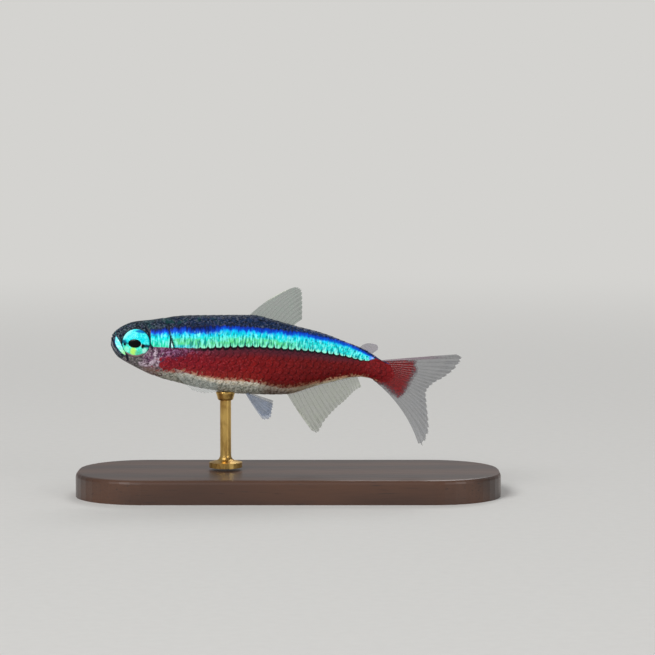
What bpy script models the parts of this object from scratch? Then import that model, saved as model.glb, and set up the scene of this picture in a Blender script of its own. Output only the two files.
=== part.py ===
"""A cardinal tetra (Paracheirodon axelrodi) at life size, swimming, on a plain display stand.

Units are metres and +Z is up. The head points to -X, the fish's left side faces -Y, and the origin
is the middle of the stand's underside. Along the fish, places are shares of its standard length,
from about the snout (0) to the root of the tail fin (1), and heights and half widths are shares of it too.
Every piece of the fish is first made straight, with its spine along +X, and is then bent into the pose.
"""

import math

import bmesh
import bpy
import numpy as np
from mathutils import Vector

# Driving sizes, in metres
STANDARD_LENGTH = 0.030
GAP = 0.0003
FIN_ROOT_THICKNESS = 0.00052
FIN_EDGE_THICKNESS = 0.00026
RAY_RELIEF = 0.00007
GILL_COVER_THICKNESS = 0.0006

# Stand, in metres
BASE_LENGTH = 0.046
BASE_WIDTH = 0.018
BASE_HEIGHT = 0.0026
BASE_CORNER = 0.0075
BASE_EDGE = 0.0004
ROD_DIAMETER = 0.0012
ROD_FOOT_DIAMETER = 0.0036
ROD_FOOT_HEIGHT = 0.0007
BELLY_ABOVE_BASE = 0.0085
ROD_STATION = 0.42
ROD_CLEARANCE = 0.0004

# Pose, in degrees and in shares of the standard length
NOSE_X = -0.0190
BODY_PITCH = 4.3
TAIL_DROOP = 20.0
DROOP_SPAN = (0.84, 0.96)
HEAD_YAW = 6.0
SIDE_BEND = 26.0
BEND_SPAN = (0.25, 1.45)
SPINE_STEP = 0.005

# Outline of the body: (station, size), both in shares of the standard length
SNOUT = -0.005
BACK = [
    (SNOUT, 0.0), (-0.002, 0.030), (0.004, 0.043), (0.0145, 0.0540), (0.027, 0.0640), (0.040, 0.0720),
    (0.060, 0.0820), (0.080, 0.0880), (0.105, 0.0925), (0.130, 0.0965), (0.160, 0.1030), (0.187, 0.1095),
    (0.217, 0.1160), (0.250, 0.1210), (0.300, 0.1255), (0.340, 0.1285), (0.380, 0.1315), (0.413, 0.1340),
    (0.460, 0.1372), (0.507, 0.140), (0.565, 0.130), (0.661, 0.111), (0.758, 0.093), (0.854, 0.065),
    (0.902, 0.052), (0.942, 0.043), (0.964, 0.0385), (1.0, 0.043), (1.05, 0.044),
]
BELLY = [
    (SNOUT, 0.0), (0.000, 0.0130), (0.006, 0.0240), (0.013, 0.0335), (0.022, 0.0430), (0.035, 0.0512),
    (0.0595, 0.0635),
    (0.089, 0.0770), (0.1175, 0.0892), (0.139, 0.0978), (0.165, 0.1062), (0.1915, 0.1130), (0.2177, 0.1180),
    (0.2436, 0.1228), (0.2702, 0.1282), (0.2964, 0.1330), (0.3229, 0.1372), (0.372, 0.142), (0.4675, 0.149),
    (0.545, 0.147), (0.634, 0.140), (0.758, 0.096), (0.854, 0.0645), (0.902, 0.0523), (0.942, 0.043),
    (0.964, 0.0385), (1.0, 0.043), (1.05, 0.044),
]
HALF_WIDTH = [
    (SNOUT, 0.0), (0.002, 0.0205), (0.018, 0.035), (0.043, 0.046), (0.088, 0.058), (0.14, 0.066),
    (0.20, 0.071), (0.30, 0.0755), (0.38, 0.076), (0.50, 0.070), (0.65, 0.055), (0.78, 0.041),
    (0.90, 0.027), (0.96, 0.020), (1.0, 0.017), (1.05, 0.015),
]
BACK_ROUNDNESS = 2.05
BREAST_ROUNDNESS = 2.3
KEEL_ROUNDNESS = 1.75
KEEL_SPAN = (0.42, 0.62)
BODY_END = 1.04
BODY_RINGS = 52
BODY_SIDES = 36

# Where the body is parted: points (station, height) from above the back to below the belly
HEAD_EDGE = [
    (0.168, 0.20), (0.176, 0.11), (0.195, 0.06), (0.213, 0.025), (0.220, -0.005), (0.212, -0.040),
    (0.190, -0.072), (0.160, -0.098), (0.142, -0.125), (0.130, -0.20),
]
STALK_EDGE = [(0.870, 0.20), (0.886, 0.06), (0.900, 0.0), (0.916, -0.06), (0.932, -0.20)]
GILL_FRONT = [(0.182, 0.054), (0.176, 0.020), (0.173, -0.010), (0.166, -0.036), (0.153, -0.060)]
GILL_REACH = 0.26
CUTTER_REACH = 0.2

# Head
EYE_STATION = 0.083
EYE_HEIGHT = 0.0138
EYE_RADIUS = 0.0505 * STANDARD_LENGTH
EYE_HALF_THICKNESS = 0.00062
EYE_DEPTH = 0.00045
MOUTH_FRONT_HEIGHT = 0.028
MOUTH_CORNER_HEIGHT = -0.032
MOUTH_LENGTH = 0.026
MOUTH_CUT = 0.00009
MOUTH_CUT_DEPTH = 0.00030
LIP_RADIUS = 0.00011
LIP_SHIFT = 0.0065
NOSTRILS = [(0.026, 0.034, 0.00012), (0.035, 0.041, 0.00010)]

# Fins: rays, and rims as (share of the root from its front, station, height)
DORSAL_ROOT = (0.488, 0.650)
DORSAL_RIM = [
    (0.0, 0.632, 0.2475), (0.15, 0.648, 0.2525), (0.40, 0.668, 0.244), (0.70, 0.6745, 0.195), (1.0, 0.6775, 0.136),
]
DORSAL_RAYS = 11
ANAL_ROOT = (0.643, 0.9025)
ANAL_RIM = [
    (0.0, 0.747, -0.267), (0.10, 0.763, -0.270), (0.25, 0.787, -0.226), (0.50, 0.834, -0.166),
    (0.75, 0.889, -0.120), (1.0, 0.938, -0.080),
]
ANAL_RAYS = 18
ADIPOSE_ROOT = (0.888, 0.928)
ADIPOSE_RIM = [(0.0, 0.912, 0.079), (0.4, 0.930, 0.0835), (0.75, 0.9385, 0.0765), (1.0, 0.9395, 0.0665)]
CAUDAL_ROOT_HEIGHT = 0.041
CAUDAL_ROOT_CURVE = 0.030
CAUDAL_RIM = [
    (-1.0, 1.229, -0.176), (-0.92, 1.240, -0.165), (-0.75, 1.237, -0.124), (-0.5, 1.2115, -0.074),
    (-0.25, 1.182, -0.029), (0.0, 1.163, 0.009), (0.25, 1.175, 0.045), (0.5, 1.205, 0.087),
    (0.75, 1.2295, 0.137), (0.92, 1.2375, 0.178), (1.0, 1.220, 0.187),
]
CAUDAL_RAYS = 19
CAUDAL_CUP = 0.045
CAUDAL_BOW = 0.065
PELVIC_RAYS = 7
PECTORAL_RAYS = 10


def smooth_curve(points):
    """A smooth function through the points that doesn't overshoot them (a monotone cubic)."""
    stations, values = (np.array(row, float) for row in zip(*points))
    steps = np.diff(stations)
    slopes = np.diff(values) / steps
    tangents = np.zeros(len(stations))
    tangents[0], tangents[-1] = slopes[0], slopes[-1]
    for i in range(1, len(stations) - 1):
        if slopes[i - 1] * slopes[i] > 0:
            before, after = 2 * steps[i] + steps[i - 1], steps[i] + 2 * steps[i - 1]
            tangents[i] = (before + after) / (before / slopes[i - 1] + after / slopes[i])

    def value(station):
        i = np.clip(np.searchsorted(stations, station) - 1, 0, len(steps) - 1)
        u = np.clip((station - stations[i]) / steps[i], 0, 1)
        start = values[i] * (1 + 2 * u) * (1 - u) ** 2 + tangents[i] * steps[i] * u * (1 - u) ** 2
        end = values[i + 1] * u * u * (3 - 2 * u) - tangents[i + 1] * steps[i] * u * u * (1 - u)
        return start + end

    return value


def blunt_curve(points):
    """smooth_curve for a profile that starts round at the snout, so it runs over the root of the way from it."""
    curve = smooth_curve([(math.sqrt(station - SNOUT), value) for station, value in points])
    return lambda station: curve(math.sqrt(max(station - SNOUT, 0.0)))


back_height = blunt_curve(BACK)
belly_depth = blunt_curve(BELLY)
half_width = blunt_curve(HALF_WIDTH)


def ease(value, start, end):
    """0 before start, 1 after end and smooth between."""
    share = np.clip((value - start) / (end - start), 0, 1)
    return share * share * (3 - 2 * share)


def roundness(station, upper):
    """The power of the body's section: 2 is an ellipse, less is a keel and more is boxier."""
    if upper:
        return BACK_ROUNDNESS
    return BREAST_ROUNDNESS + (KEEL_ROUNDNESS - BREAST_ROUNDNESS) * ease(station, *KEEL_SPAN)


def flank(station, height):
    """The body's half width at a station and a height."""
    limit = back_height(station) if height >= 0 else belly_depth(station)
    if limit <= abs(height):
        return 0.0
    power = roundness(station, height >= 0)
    return half_width(station) * (1 - (abs(height) / limit) ** power) ** (1 / power)


def spine_angles(station):
    """Pitch, which lowers the tail, and yaw, which turns it away from the camera's side, in radians."""
    pitch = BODY_PITCH + TAIL_DROOP * ease(station, *DROOP_SPAN)
    yaw = HEAD_YAW - SIDE_BEND * ease(station, *BEND_SPAN)
    return np.radians(pitch), np.radians(yaw)


def spine_tangent(station):
    pitch, yaw = spine_angles(station)
    return np.stack([np.cos(pitch) * np.cos(yaw), np.cos(pitch) * np.sin(yaw), -np.sin(pitch)], axis=-1)


SPINE_STATIONS = np.arange(-0.1, 1.5, SPINE_STEP)
SPINE_STEPS = spine_tangent(SPINE_STATIONS[:-1] + SPINE_STEP / 2) * SPINE_STEP * STANDARD_LENGTH
SPINE_POINTS = np.concatenate([np.zeros((1, 3)), np.cumsum(SPINE_STEPS, axis=0)])


def bend(point):
    """Where a point of the straight fish lies on the bent one, before the fish is set on its stand."""
    station = point[0] / STANDARD_LENGTH
    pitch, yaw = spine_angles(station)
    spine = [np.interp(station, SPINE_STATIONS, SPINE_POINTS[:, axis]) for axis in range(3)]
    aside = np.array([-math.sin(yaw), math.cos(yaw), 0.0])
    above = np.array([math.sin(pitch) * math.cos(yaw), math.sin(pitch) * math.sin(yaw), math.cos(pitch)])
    return np.array(spine) + point[1] * aside + point[2] * above


def straight(station, aside, height):
    """A point of the straight fish in metres, from shares of its standard length."""
    return Vector((station, aside, height)) * STANDARD_LENGTH


BELLY_ON_ROD = bend(straight(ROD_STATION, 0, -belly_depth(ROD_STATION)))
BELLY_HEIGHT = BASE_HEIGHT + BELLY_ABOVE_BASE
SPINE_AT_ROD = bend(straight(ROD_STATION, 0, 0))
PLACE = np.array([NOSE_X - bend((0, 0, 0))[0], -SPINE_AT_ROD[1], BELLY_HEIGHT - BELLY_ON_ROD[2]])


def new_collection(name):
    collection = bpy.data.collections.new(name)
    bpy.context.scene.collection.children.link(collection)
    return collection


def add_object(name, mesh, collection):
    """A new object, from a mesh or from a bmesh, whose faces are made to point out."""
    if isinstance(mesh, bmesh.types.BMesh):
        mesh.normal_update()
        bmesh.ops.recalc_face_normals(mesh, faces=mesh.faces[:])
        data = bpy.data.meshes.new(name)
        mesh.to_mesh(data)
        mesh.free()
    else:
        data = mesh
    piece = bpy.data.objects.new(name, data)
    collection.objects.link(piece)
    return piece


def add_cutter(name, mesh):
    cutter = add_object(name, mesh, CUTTERS)
    cutter.hide_render = True
    cutter.display_type = "WIRE"
    return cutter


def applied_mesh(piece):
    """The object's mesh with its modifiers applied."""
    graph = bpy.context.evaluated_depsgraph_get()
    graph.update()
    return bpy.data.meshes.new_from_object(piece.evaluated_get(graph))


def keep_largest(shape):
    """Deletes all but the largest closed surface of a bmesh."""
    left = set(shape.faces)
    islands = []
    while left:
        island, edge_of_it = set(), [left.pop()]
        while edge_of_it:
            face = edge_of_it.pop()
            island.add(face)
            near = {other for edge in face.edges for other in edge.link_faces if other in left}
            left -= near
            edge_of_it.extend(near)
        islands.append(island)
    islands.sort(key=lambda island: sum(face.calc_area() for face in island))
    for island in islands[:-1]:
        bmesh.ops.delete(shape, geom=list(island), context="FACES")


def cut(piece, operation, *others):
    """Applies Booleans of the piece with other objects and keeps its largest closed surface."""
    for other in others:
        modifier = piece.modifiers.new(f"{operation} {other.name}", "BOOLEAN")
        modifier.operation = operation
        modifier.object = other
    mesh = applied_mesh(piece)
    piece.modifiers.clear()
    shape = bmesh.new()
    shape.from_mesh(mesh)
    keep_largest(shape)
    shape.to_mesh(mesh)
    shape.free()
    piece.data = mesh


def body_solid(inset=0.0, span=(SNOUT, BODY_END)):
    """The straight body as a closed form: a sphere whose rings are set on the body's sections."""
    shape = bmesh.new()
    bmesh.ops.create_uvsphere(shape, u_segments=BODY_SIDES, v_segments=BODY_RINGS, radius=1)
    for point in shape.verts:
        along = math.acos(max(-1.0, min(1.0, point.co.z))) / math.pi
        around = math.atan2(point.co.y, point.co.x)
        station = span[0] + (span[1] - span[0]) * along**1.5 * (1 - 0.25 * along) / 0.75
        across, up = math.cos(around), math.sin(around)
        depth = back_height(station) if up >= 0 else belly_depth(station)
        share = 2 / roundness(station, up >= 0)
        pole = abs(point.co.z) > 1 - 1e-9
        wide = 0.0 if pole else math.copysign(abs(across) ** share, across)
        high = 0.0 if pole else math.copysign(abs(up) ** share, up)
        point.co = straight(station, wide * (half_width(station) - inset), high * (depth - inset))
    return shape


def shifted(line, distance):
    """A line of (station, height) points moved sideways, towards the tail where distance is positive."""
    points = np.array(line, float)
    run = np.gradient(points, axis=0)
    aside = np.stack([-run[:, 1], run[:, 0]], axis=1)
    aside /= np.linalg.norm(aside, axis=1, keepdims=True)
    return [tuple(point) for point in points + aside * distance]


def fine_line(points, steps=4):
    """More points on a smooth line through (station, height) points."""
    places = list(range(len(points)))
    station = smooth_curve([(place, point[0]) for place, point in zip(places, points)])
    height = smooth_curve([(place, point[1]) for place, point in zip(places, points)])
    shares = np.linspace(0, places[-1], places[-1] * steps + 1)
    return [(float(station(share)), float(height(share))) for share in shares]


def prism(outline, near=-CUTTER_REACH, far=CUTTER_REACH):
    """A block through the fish, from an outline of (station, height) points."""
    shape = bmesh.new()
    face = shape.faces.new([shape.verts.new(straight(station, near, height)) for station, height in outline])
    made = bmesh.ops.extrude_face_region(shape, geom=[face])
    moved = [item for item in made["geom"] if isinstance(item, bmesh.types.BMVert)]
    bmesh.ops.translate(shape, verts=moved, vec=straight(0, far - near, 0))
    return shape


def slab(columns, rows, place):
    """A closed thin form. place(u, v, side) gives the points of its two faces, where side is -1 or 1.

    The sheet is split into triangles before it is doubled, so both faces are split alike.
    """
    shape = bmesh.new()
    bmesh.ops.create_grid(shape, x_segments=columns, y_segments=rows, size=0.5)
    bmesh.ops.triangulate(shape, faces=shape.faces[:])
    made = bmesh.ops.extrude_face_region(shape, geom=shape.faces[:], use_keep_orig=True)
    moved = [item for item in made["geom"] if isinstance(item, bmesh.types.BMVert)]
    bmesh.ops.translate(shape, verts=moved, vec=(0, 0, 1))
    for point in shape.verts:
        u, v = round(point.co.x + 0.5, 6), round(point.co.y + 0.5, 6)
        point.co = place(u, v, 1 if point.co.z > 0.5 else -1)
    return shape


def fin_half_thickness(rays, u, v):
    """Half a fin's thickness: a membrane that thins to its rim, with a ridge on each ray."""
    membrane = FIN_ROOT_THICKNESS + (FIN_EDGE_THICKNESS - FIN_ROOT_THICKNESS) * v
    ridge = math.sin(math.pi * rays * u) ** 2 if rays else 0.0
    return membrane / 2 + RAY_RELIEF * ridge * (1 - 0.5 * v)


def median_fin(rays, rows, root, rim, bow, lean=lambda u, v: 0.0):
    """A fin in the fish's middle plane, from the lines of its root and its rim. bow(u) bows a ray."""

    def place(u, v, side):
        start, end = np.array(root(u)), np.array(rim(u))
        run = end - start
        flat = start + run * v + np.array([-run[1], run[0]]) * bow(u) * 4 * v * (1 - v)
        point = straight(flat[0], lean(u, v), flat[1])
        point.y += side * fin_half_thickness(rays, u, v)
        return point

    return slab(2 * rays if rays else 5, rows, place)


def rim_line(points):
    """A function along a fin's rim, from (share of the root, station, height) points."""
    station = smooth_curve([(share, place) for share, place, _ in points])
    height = smooth_curve([(share, up) for share, _, up in points])
    return lambda share: (float(station(share)), float(height(share)))


def edge_root(span, profile, sign):
    """A function along a fin's root on the back (sign 1) or the belly (sign -1), clear of it by the gap."""

    def root(u):
        station = span[0] + (span[1] - span[0]) * u
        return station, sign * (profile(station) + GAP / STANDARD_LENGTH)

    return root


def dorsal_fin():
    root = edge_root(DORSAL_ROOT, back_height, 1)
    return median_fin(DORSAL_RAYS, 7, root, rim_line(DORSAL_RIM), lambda u: 0.05)


def anal_fin():
    root = edge_root(ANAL_ROOT, belly_depth, -1)
    sway = lambda u, v: -0.012 * v * v
    return median_fin(ANAL_RAYS, 6, root, rim_line(ANAL_RIM), lambda u: -0.02, sway)


def adipose_fin():
    root = edge_root(ADIPOSE_ROOT, back_height, 1)
    return median_fin(0, 3, root, rim_line(ADIPOSE_RIM), lambda u: 0.12 * (1 - u))


def caudal_root(share):
    """The line of the tail fin's root, from below (-1) to above (1) the stalk's middle."""
    return 1.0 - CAUDAL_ROOT_CURVE * share * share, CAUDAL_ROOT_HEIGHT * share


def caudal_fin():
    rim = rim_line(CAUDAL_RIM)

    def root(u):
        station, height = caudal_root(2 * u - 1)
        outward = Vector((CAUDAL_ROOT_HEIGHT, 2 * CAUDAL_ROOT_CURVE * (2 * u - 1))).normalized()
        clear = outward * GAP / STANDARD_LENGTH
        return station + clear.x, height + clear.y

    def cup(u, v):
        low = 1.0 if u < 0.5 else 0.55
        return -CAUDAL_CUP * low * abs(2 * u - 1) ** 1.5 * v * v

    return median_fin(CAUDAL_RAYS, 9, root, lambda u: rim(2 * u - 1), lambda u: CAUDAL_BOW * (1 - u) ** 2, cup)


def paired_fin(rays, rows, root_front, root_rear, front, rear, lengths, curl):
    """A fin on one flank. Roots are points, front and rear its end rays' directions, in the straight fish."""
    root_front, root_rear, front, rear, curl = map(Vector, (root_front, root_rear, front, rear, curl))
    length = smooth_curve(lengths)
    across = (root_rear - root_front).normalized()

    def place(u, v, side):
        ray = front.lerp(rear, u).normalized()
        reach = float(length(u)) * STANDARD_LENGTH * v
        face = across.cross(ray).normalized()
        point = root_front.lerp(root_rear, u) + ray * reach + curl * reach * v
        return point + face * side * fin_half_thickness(rays, u, v)

    return slab(2 * rays, rows, place)


def pelvic_fin(sign):
    """The belly fin of one side: sign -1 is the left and 1 the right."""
    root_front = straight(0.500, sign * 0.022, -0.1585)
    root_rear = straight(0.530, sign * 0.036, -0.1545)
    lengths = [(0.0, 0.098), (0.25, 0.104), (0.6, 0.084), (1.0, 0.066)]
    front, rear = (0.55, sign * 0.30, -0.80), (0.94, sign * 0.36, -0.30)
    return paired_fin(PELVIC_RAYS, 5, root_front, root_rear, front, rear, lengths, (0.10, 0, 0.0))


def pectoral_fin(sign):
    """The breast fin of one side, held a little away from the flank."""
    out = GAP / STANDARD_LENGTH + 0.0125
    root_front = straight(0.238, sign * (flank(0.238, -0.070) + out), -0.070)
    root_rear = straight(0.242, sign * (flank(0.242, -0.100) + out), -0.100)
    lengths = [(0.0, 0.165), (0.2, 0.175), (0.6, 0.135), (1.0, 0.075)]
    front, rear = (0.86, sign * 0.44, -0.22), (0.70, sign * 0.46, -0.52)
    return paired_fin(PECTORAL_RAYS, 5, root_front, root_rear, front, rear, lengths, (0, -sign * 0.06, 0))


def ellipsoid(center, radii, segments=24, rings=12):
    """A sphere drawn out along X, Y and Z, in metres, with its poles on the Y axis."""
    shape = bmesh.new()
    bmesh.ops.create_uvsphere(shape, u_segments=segments, v_segments=rings, radius=1)
    for point in shape.verts:
        x, y, z = point.co
        point.co = Vector((x * radii[0], z * radii[1], y * radii[2])) + Vector(center)
    return shape


def eye_center(sign):
    out = flank(EYE_STATION, EYE_HEIGHT) * STANDARD_LENGTH - EYE_DEPTH
    return straight(EYE_STATION, 0, EYE_HEIGHT) + Vector((0, sign * out, 0))


def eye_solid(sign, extra=0.0):
    radii = (EYE_RADIUS + extra, EYE_HALF_THICKNESS + extra, EYE_RADIUS + extra)
    return ellipsoid(eye_center(sign), radii)


def front_station(height):
    """Where the outline of the head's front crosses a height, found by halving."""
    profile = back_height if height >= 0 else belly_depth
    ahead, behind = SNOUT, 0.1
    for _ in range(40):
        middle = (ahead + behind) / 2
        if profile(middle) < abs(height):
            ahead = middle
        else:
            behind = middle
    return behind


def mouth_point(share, rise=0.0):
    """A point on the line of the mouth, from its right corner (-1) round the front (0) to its left (1)."""
    height = MOUTH_FRONT_HEIGHT + (MOUTH_CORNER_HEIGHT - MOUTH_FRONT_HEIGHT) * share * share + rise
    station = front_station(height) + MOUTH_LENGTH * share * share
    return straight(station, -math.copysign(flank(station, height), share), height)


def mouth_cutter():
    """A thin curved blade that cuts the line of the mouth."""
    inner = straight(MOUTH_LENGTH, 0, 0)

    def place(u, v, side):
        edge = mouth_point(2 * u - 1)
        inward = (Vector((inner.x, 0, edge.z)) - edge).normalized()
        point = edge + inward * (MOUTH_CUT_DEPTH * (2 * v - 1))
        point.z += side * MOUTH_CUT
        return point

    return slab(24, 1, place)


def lip(name, rise, collection):
    """A rounded lip along the mouth, thinner at its corners, as a closed mesh."""
    curve = bpy.data.curves.new(name, "CURVE")
    curve.dimensions = "3D"
    curve.bevel_depth = LIP_RADIUS
    curve.bevel_resolution = 2
    curve.use_fill_caps = True
    spline = curve.splines.new("POLY")
    shares = np.linspace(-1, 1, 21)
    spline.points.add(len(shares) - 1)
    for point, share in zip(spline.points, shares):
        point.co = (*mouth_point(share, rise), 1)
        point.radius = 1.0 - 0.45 * share * share
    guide = add_object(name, curve, collection)
    shape = bmesh.new()
    shape.from_mesh(applied_mesh(guide))
    bmesh.ops.remove_doubles(shape, verts=shape.verts[:], dist=1e-7)
    bpy.data.objects.remove(guide)
    return add_object(name, shape, collection)


def add_lips(head):
    """Joins both lips to the head with one union, then removes them."""
    lips = new_collection("lips")
    lip("upper_lip", LIP_SHIFT, lips)
    lip("lower_lip", -LIP_SHIFT, lips)
    modifier = head.modifiers.new("lips", "BOOLEAN")
    modifier.operation = "UNION"
    modifier.operand_type = "COLLECTION"
    modifier.collection = lips
    head.data = applied_mesh(head)
    head.modifiers.clear()
    for piece in list(lips.objects):
        bpy.data.objects.remove(piece)
    bpy.data.collections.remove(lips)


def body_nodes():
    """Head, gill covers, trunk and tail stalk, parted from one body by thin cuts."""
    head_edge, stalk_edge = fine_line(HEAD_EDGE), fine_line(STALK_EDGE)
    high, low = CUTTER_REACH, -CUTTER_REACH
    half_gap = GAP / STANDARD_LENGTH / 2
    stalk_end = [caudal_root(share) for share in np.linspace(1.3, -1.3, 15)]

    front = [(-0.1, low), (-0.1, high)]
    head_space = add_cutter("head_space", prism(front + shifted(head_edge, -half_gap)))
    trunk_lines = shifted(head_edge, half_gap)[::-1] + shifted(stalk_edge, -half_gap)
    trunk_space = add_cutter("trunk_space", prism(trunk_lines))
    stalk_lines = shifted(stalk_edge, half_gap)[::-1] + stalk_end
    stalk_space = add_cutter("stalk_space", prism(stalk_lines))

    nodes = {}
    for name, space in (("head", head_space), ("trunk", trunk_space), ("tail_stalk", stalk_space)):
        nodes[name] = add_object(name, body_solid(), PARTS)
        cut(nodes[name], "INTERSECT", space)

    thickness = GILL_COVER_THICKNESS / STANDARD_LENGTH
    core_span = (0.05, 0.5)
    under_cover = add_cutter("under_gill_cover", body_solid(thickness, core_span))
    under_slot = add_cutter("under_gill_slot", body_solid(thickness + 2 * half_gap, core_span))
    line = fine_line(GILL_FRONT)
    rear = [(GILL_REACH, line[-1][1]), (GILL_REACH, line[0][1])]
    grown = shifted(line, -2 * half_gap)
    high_edge, low_edge = line[0][1] + 2 * half_gap, line[-1][1] - 2 * half_gap
    grown = [(grown[0][0], high_edge), *grown, (grown[-1][0] - half_gap, low_edge)]
    grown_rear = [(GILL_REACH, low_edge), (GILL_REACH, high_edge)]
    slots = []
    for side, near, far in (("left", -CUTTER_REACH, 0.0), ("right", 0.0, CUTTER_REACH)):
        slots.append(add_cutter(f"gill_slot_{side}", prism(grown + grown_rear, near, far)))
        cut(slots[-1], "DIFFERENCE", under_slot)
        name = f"gill_cover_{side}"
        space = add_cutter(f"{name}_space", prism(line + rear, near, far))
        nodes[name] = add_object(name, body_solid(), PARTS)
        cut(nodes[name], "INTERSECT", head_space, space)
        cut(nodes[name], "DIFFERENCE", under_cover)
    return nodes, slots


def head_details(head, slots):
    """Cuts the gill slots, eye sockets, mouth and nostrils into the head and adds its lips."""
    add_lips(head)
    cutters = [*slots, add_cutter("mouth_line", mouth_cutter())]
    for side, sign in (("left", -1), ("right", 1)):
        cutters.append(add_cutter(f"eye_socket_{side}", eye_solid(sign, GAP)))
        for i, (station, height, radius) in enumerate(NOSTRILS):
            center = straight(station, sign * flank(station, height), height)
            cutters.append(add_cutter(f"nostril_{side}_{i + 1}", ellipsoid(center, (radius,) * 3, 8, 6)))
    cut(head, "DIFFERENCE", *cutters)


def fin_nodes():
    shapes = {
        "fin_dorsal": dorsal_fin(),
        "fin_adipose": adipose_fin(),
        "fin_anal": anal_fin(),
        "fin_caudal": caudal_fin(),
    }
    for side, sign in (("left", -1), ("right", 1)):
        shapes[f"fin_pelvic_{side}"] = pelvic_fin(sign)
        shapes[f"fin_pectoral_{side}"] = pectoral_fin(sign)
    return {name: add_object(name, shape, PARTS) for name, shape in shapes.items()}


def set_in_pose(piece):
    """Splits a straight piece into triangles and bends it onto its place above the stand."""
    shape = bmesh.new()
    shape.from_mesh(piece.data)
    bmesh.ops.triangulate(shape, faces=shape.faces[:])
    for point in shape.verts:
        point.co = bend(point.co) + PLACE
    shape.to_mesh(piece.data)
    shape.free()
    piece.data.shade_smooth()
    piece.data.set_sharp_from_angle(angle=math.radians(40))


def stand_base():
    """A flat oblong plate with rounded corners and a small bevel round its upper edge."""
    shape = bmesh.new()
    bmesh.ops.create_cube(shape, size=1)
    bmesh.ops.scale(shape, vec=(BASE_LENGTH, BASE_WIDTH, BASE_HEIGHT), verts=shape.verts[:])
    upright = [edge for edge in shape.edges if abs(edge.verts[0].co.z - edge.verts[1].co.z) > BASE_HEIGHT / 2]
    bmesh.ops.bevel(
        shape, geom=upright, offset=BASE_CORNER, affect="EDGES", segments=10, profile=0.5, material=-1
    )
    rim = [edge for edge in shape.edges if min(point.co.z for point in edge.verts) > BASE_HEIGHT / 4]
    bmesh.ops.bevel(shape, geom=rim, offset=BASE_EDGE, affect="EDGES", segments=3, profile=0.5, material=-1)
    base = add_object("stand_base", shape, PARTS)
    base.location.z = BASE_HEIGHT / 2
    return base


def stand_rod():
    """A turned rod on a round foot, up to the belly."""
    foot, rod = ROD_FOOT_DIAMETER / 2, ROD_DIAMETER / 2
    start = BASE_HEIGHT + GAP
    top = BELLY_HEIGHT - ROD_CLEARANCE
    fillet = ROD_FOOT_HEIGHT * 0.9
    turns = np.linspace(0, math.pi / 2, 5)
    curve = [
        (rod + fillet * (1 - math.cos(turn)), ROD_FOOT_HEIGHT + fillet * (1 - math.sin(turn))) for turn in turns
    ]
    height = top - start
    profile = [(0, height), (rod - 0.0001, height), (rod, height - 0.0001), *curve]
    profile += [(foot, ROD_FOOT_HEIGHT * 0.8), (foot, 0), (0, 0)]
    shape = bmesh.new()
    points = [shape.verts.new((radius, 0, z)) for radius, z in profile]
    for first, second in zip(points, points[1:]):
        shape.edges.new((first, second))
    mesh = bpy.data.meshes.new("stand_rod")
    shape.to_mesh(mesh)
    shape.free()
    rod_piece = add_object("stand_rod", mesh, PARTS)
    screw = rod_piece.modifiers.new("turn", "SCREW")
    screw.steps = screw.render_steps = 24
    screw.use_merge_vertices = True
    screw.merge_threshold = 1e-6
    belly = BELLY_ON_ROD + PLACE
    rod_piece.location = (belly[0], belly[1], start)
    return rod_piece


def paint(piece, color, roughness, metallic=0.0):
    material = bpy.data.materials.new(piece.name)
    material.use_nodes = True
    shader = material.node_tree.nodes["Principled BSDF"]
    shader.inputs["Base Color"].default_value = (*color, 1)
    shader.inputs["Roughness"].default_value = roughness
    shader.inputs["Metallic"].default_value = metallic
    piece.data.materials.clear()
    piece.data.materials.append(material)


def build():
    nodes, slots = body_nodes()
    head_details(nodes["head"], slots)
    nodes.update(fin_nodes())
    for side, sign in (("left", -1), ("right", 1)):
        nodes[f"eye_{side}"] = add_object(f"eye_{side}", eye_solid(sign), PARTS)
    for piece in nodes.values():
        set_in_pose(piece)
    nodes["stand_base"] = stand_base()
    nodes["stand_rod"] = stand_rod()

    handle = bpy.data.objects.new("cardinal_tetra_origin", None)
    PARTS.objects.link(handle)
    for piece in nodes.values():
        piece.parent = handle

    paint(nodes["head"], (0.05, 0.11, 0.12), 0.35)
    paint(nodes["trunk"], (0.30, 0.02, 0.02), 0.35)
    paint(nodes["tail_stalk"], (0.30, 0.03, 0.03), 0.35)
    paint(nodes["stand_base"], (0.06, 0.03, 0.015), 0.45)
    paint(nodes["stand_rod"], (0.78, 0.58, 0.30), 0.3, 1.0)
    for name, piece in nodes.items():
        if name.startswith("fin_"):
            paint(piece, (0.20, 0.26, 0.20), 0.4)
        if name.startswith("eye_"):
            paint(piece, (0.10, 0.75, 0.80), 0.12)
        if name.startswith("gill_cover_"):
            paint(piece, (0.45, 0.22, 0.26), 0.3, 0.3)


for leftover in list(bpy.data.objects):
    bpy.data.objects.remove(leftover)
PARTS = new_collection("cardinal_tetra")
CUTTERS = new_collection("cutters")
build()
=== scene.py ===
"""The looks of a life-size cardinal tetra (Paracheirodon axelrodi), swimming, on its display stand.

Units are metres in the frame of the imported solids: +Z is up, the head points to -X and the fish's left
side faces -Y. Along the fish, stations, heights and half widths are shares of its standard length. The
fish's pieces are shaped straight, with the spine along +X, and are then bent into the pose. Each keeps
its straight places in the attribute "body", which its markings are painted by.
"""

import math

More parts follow.
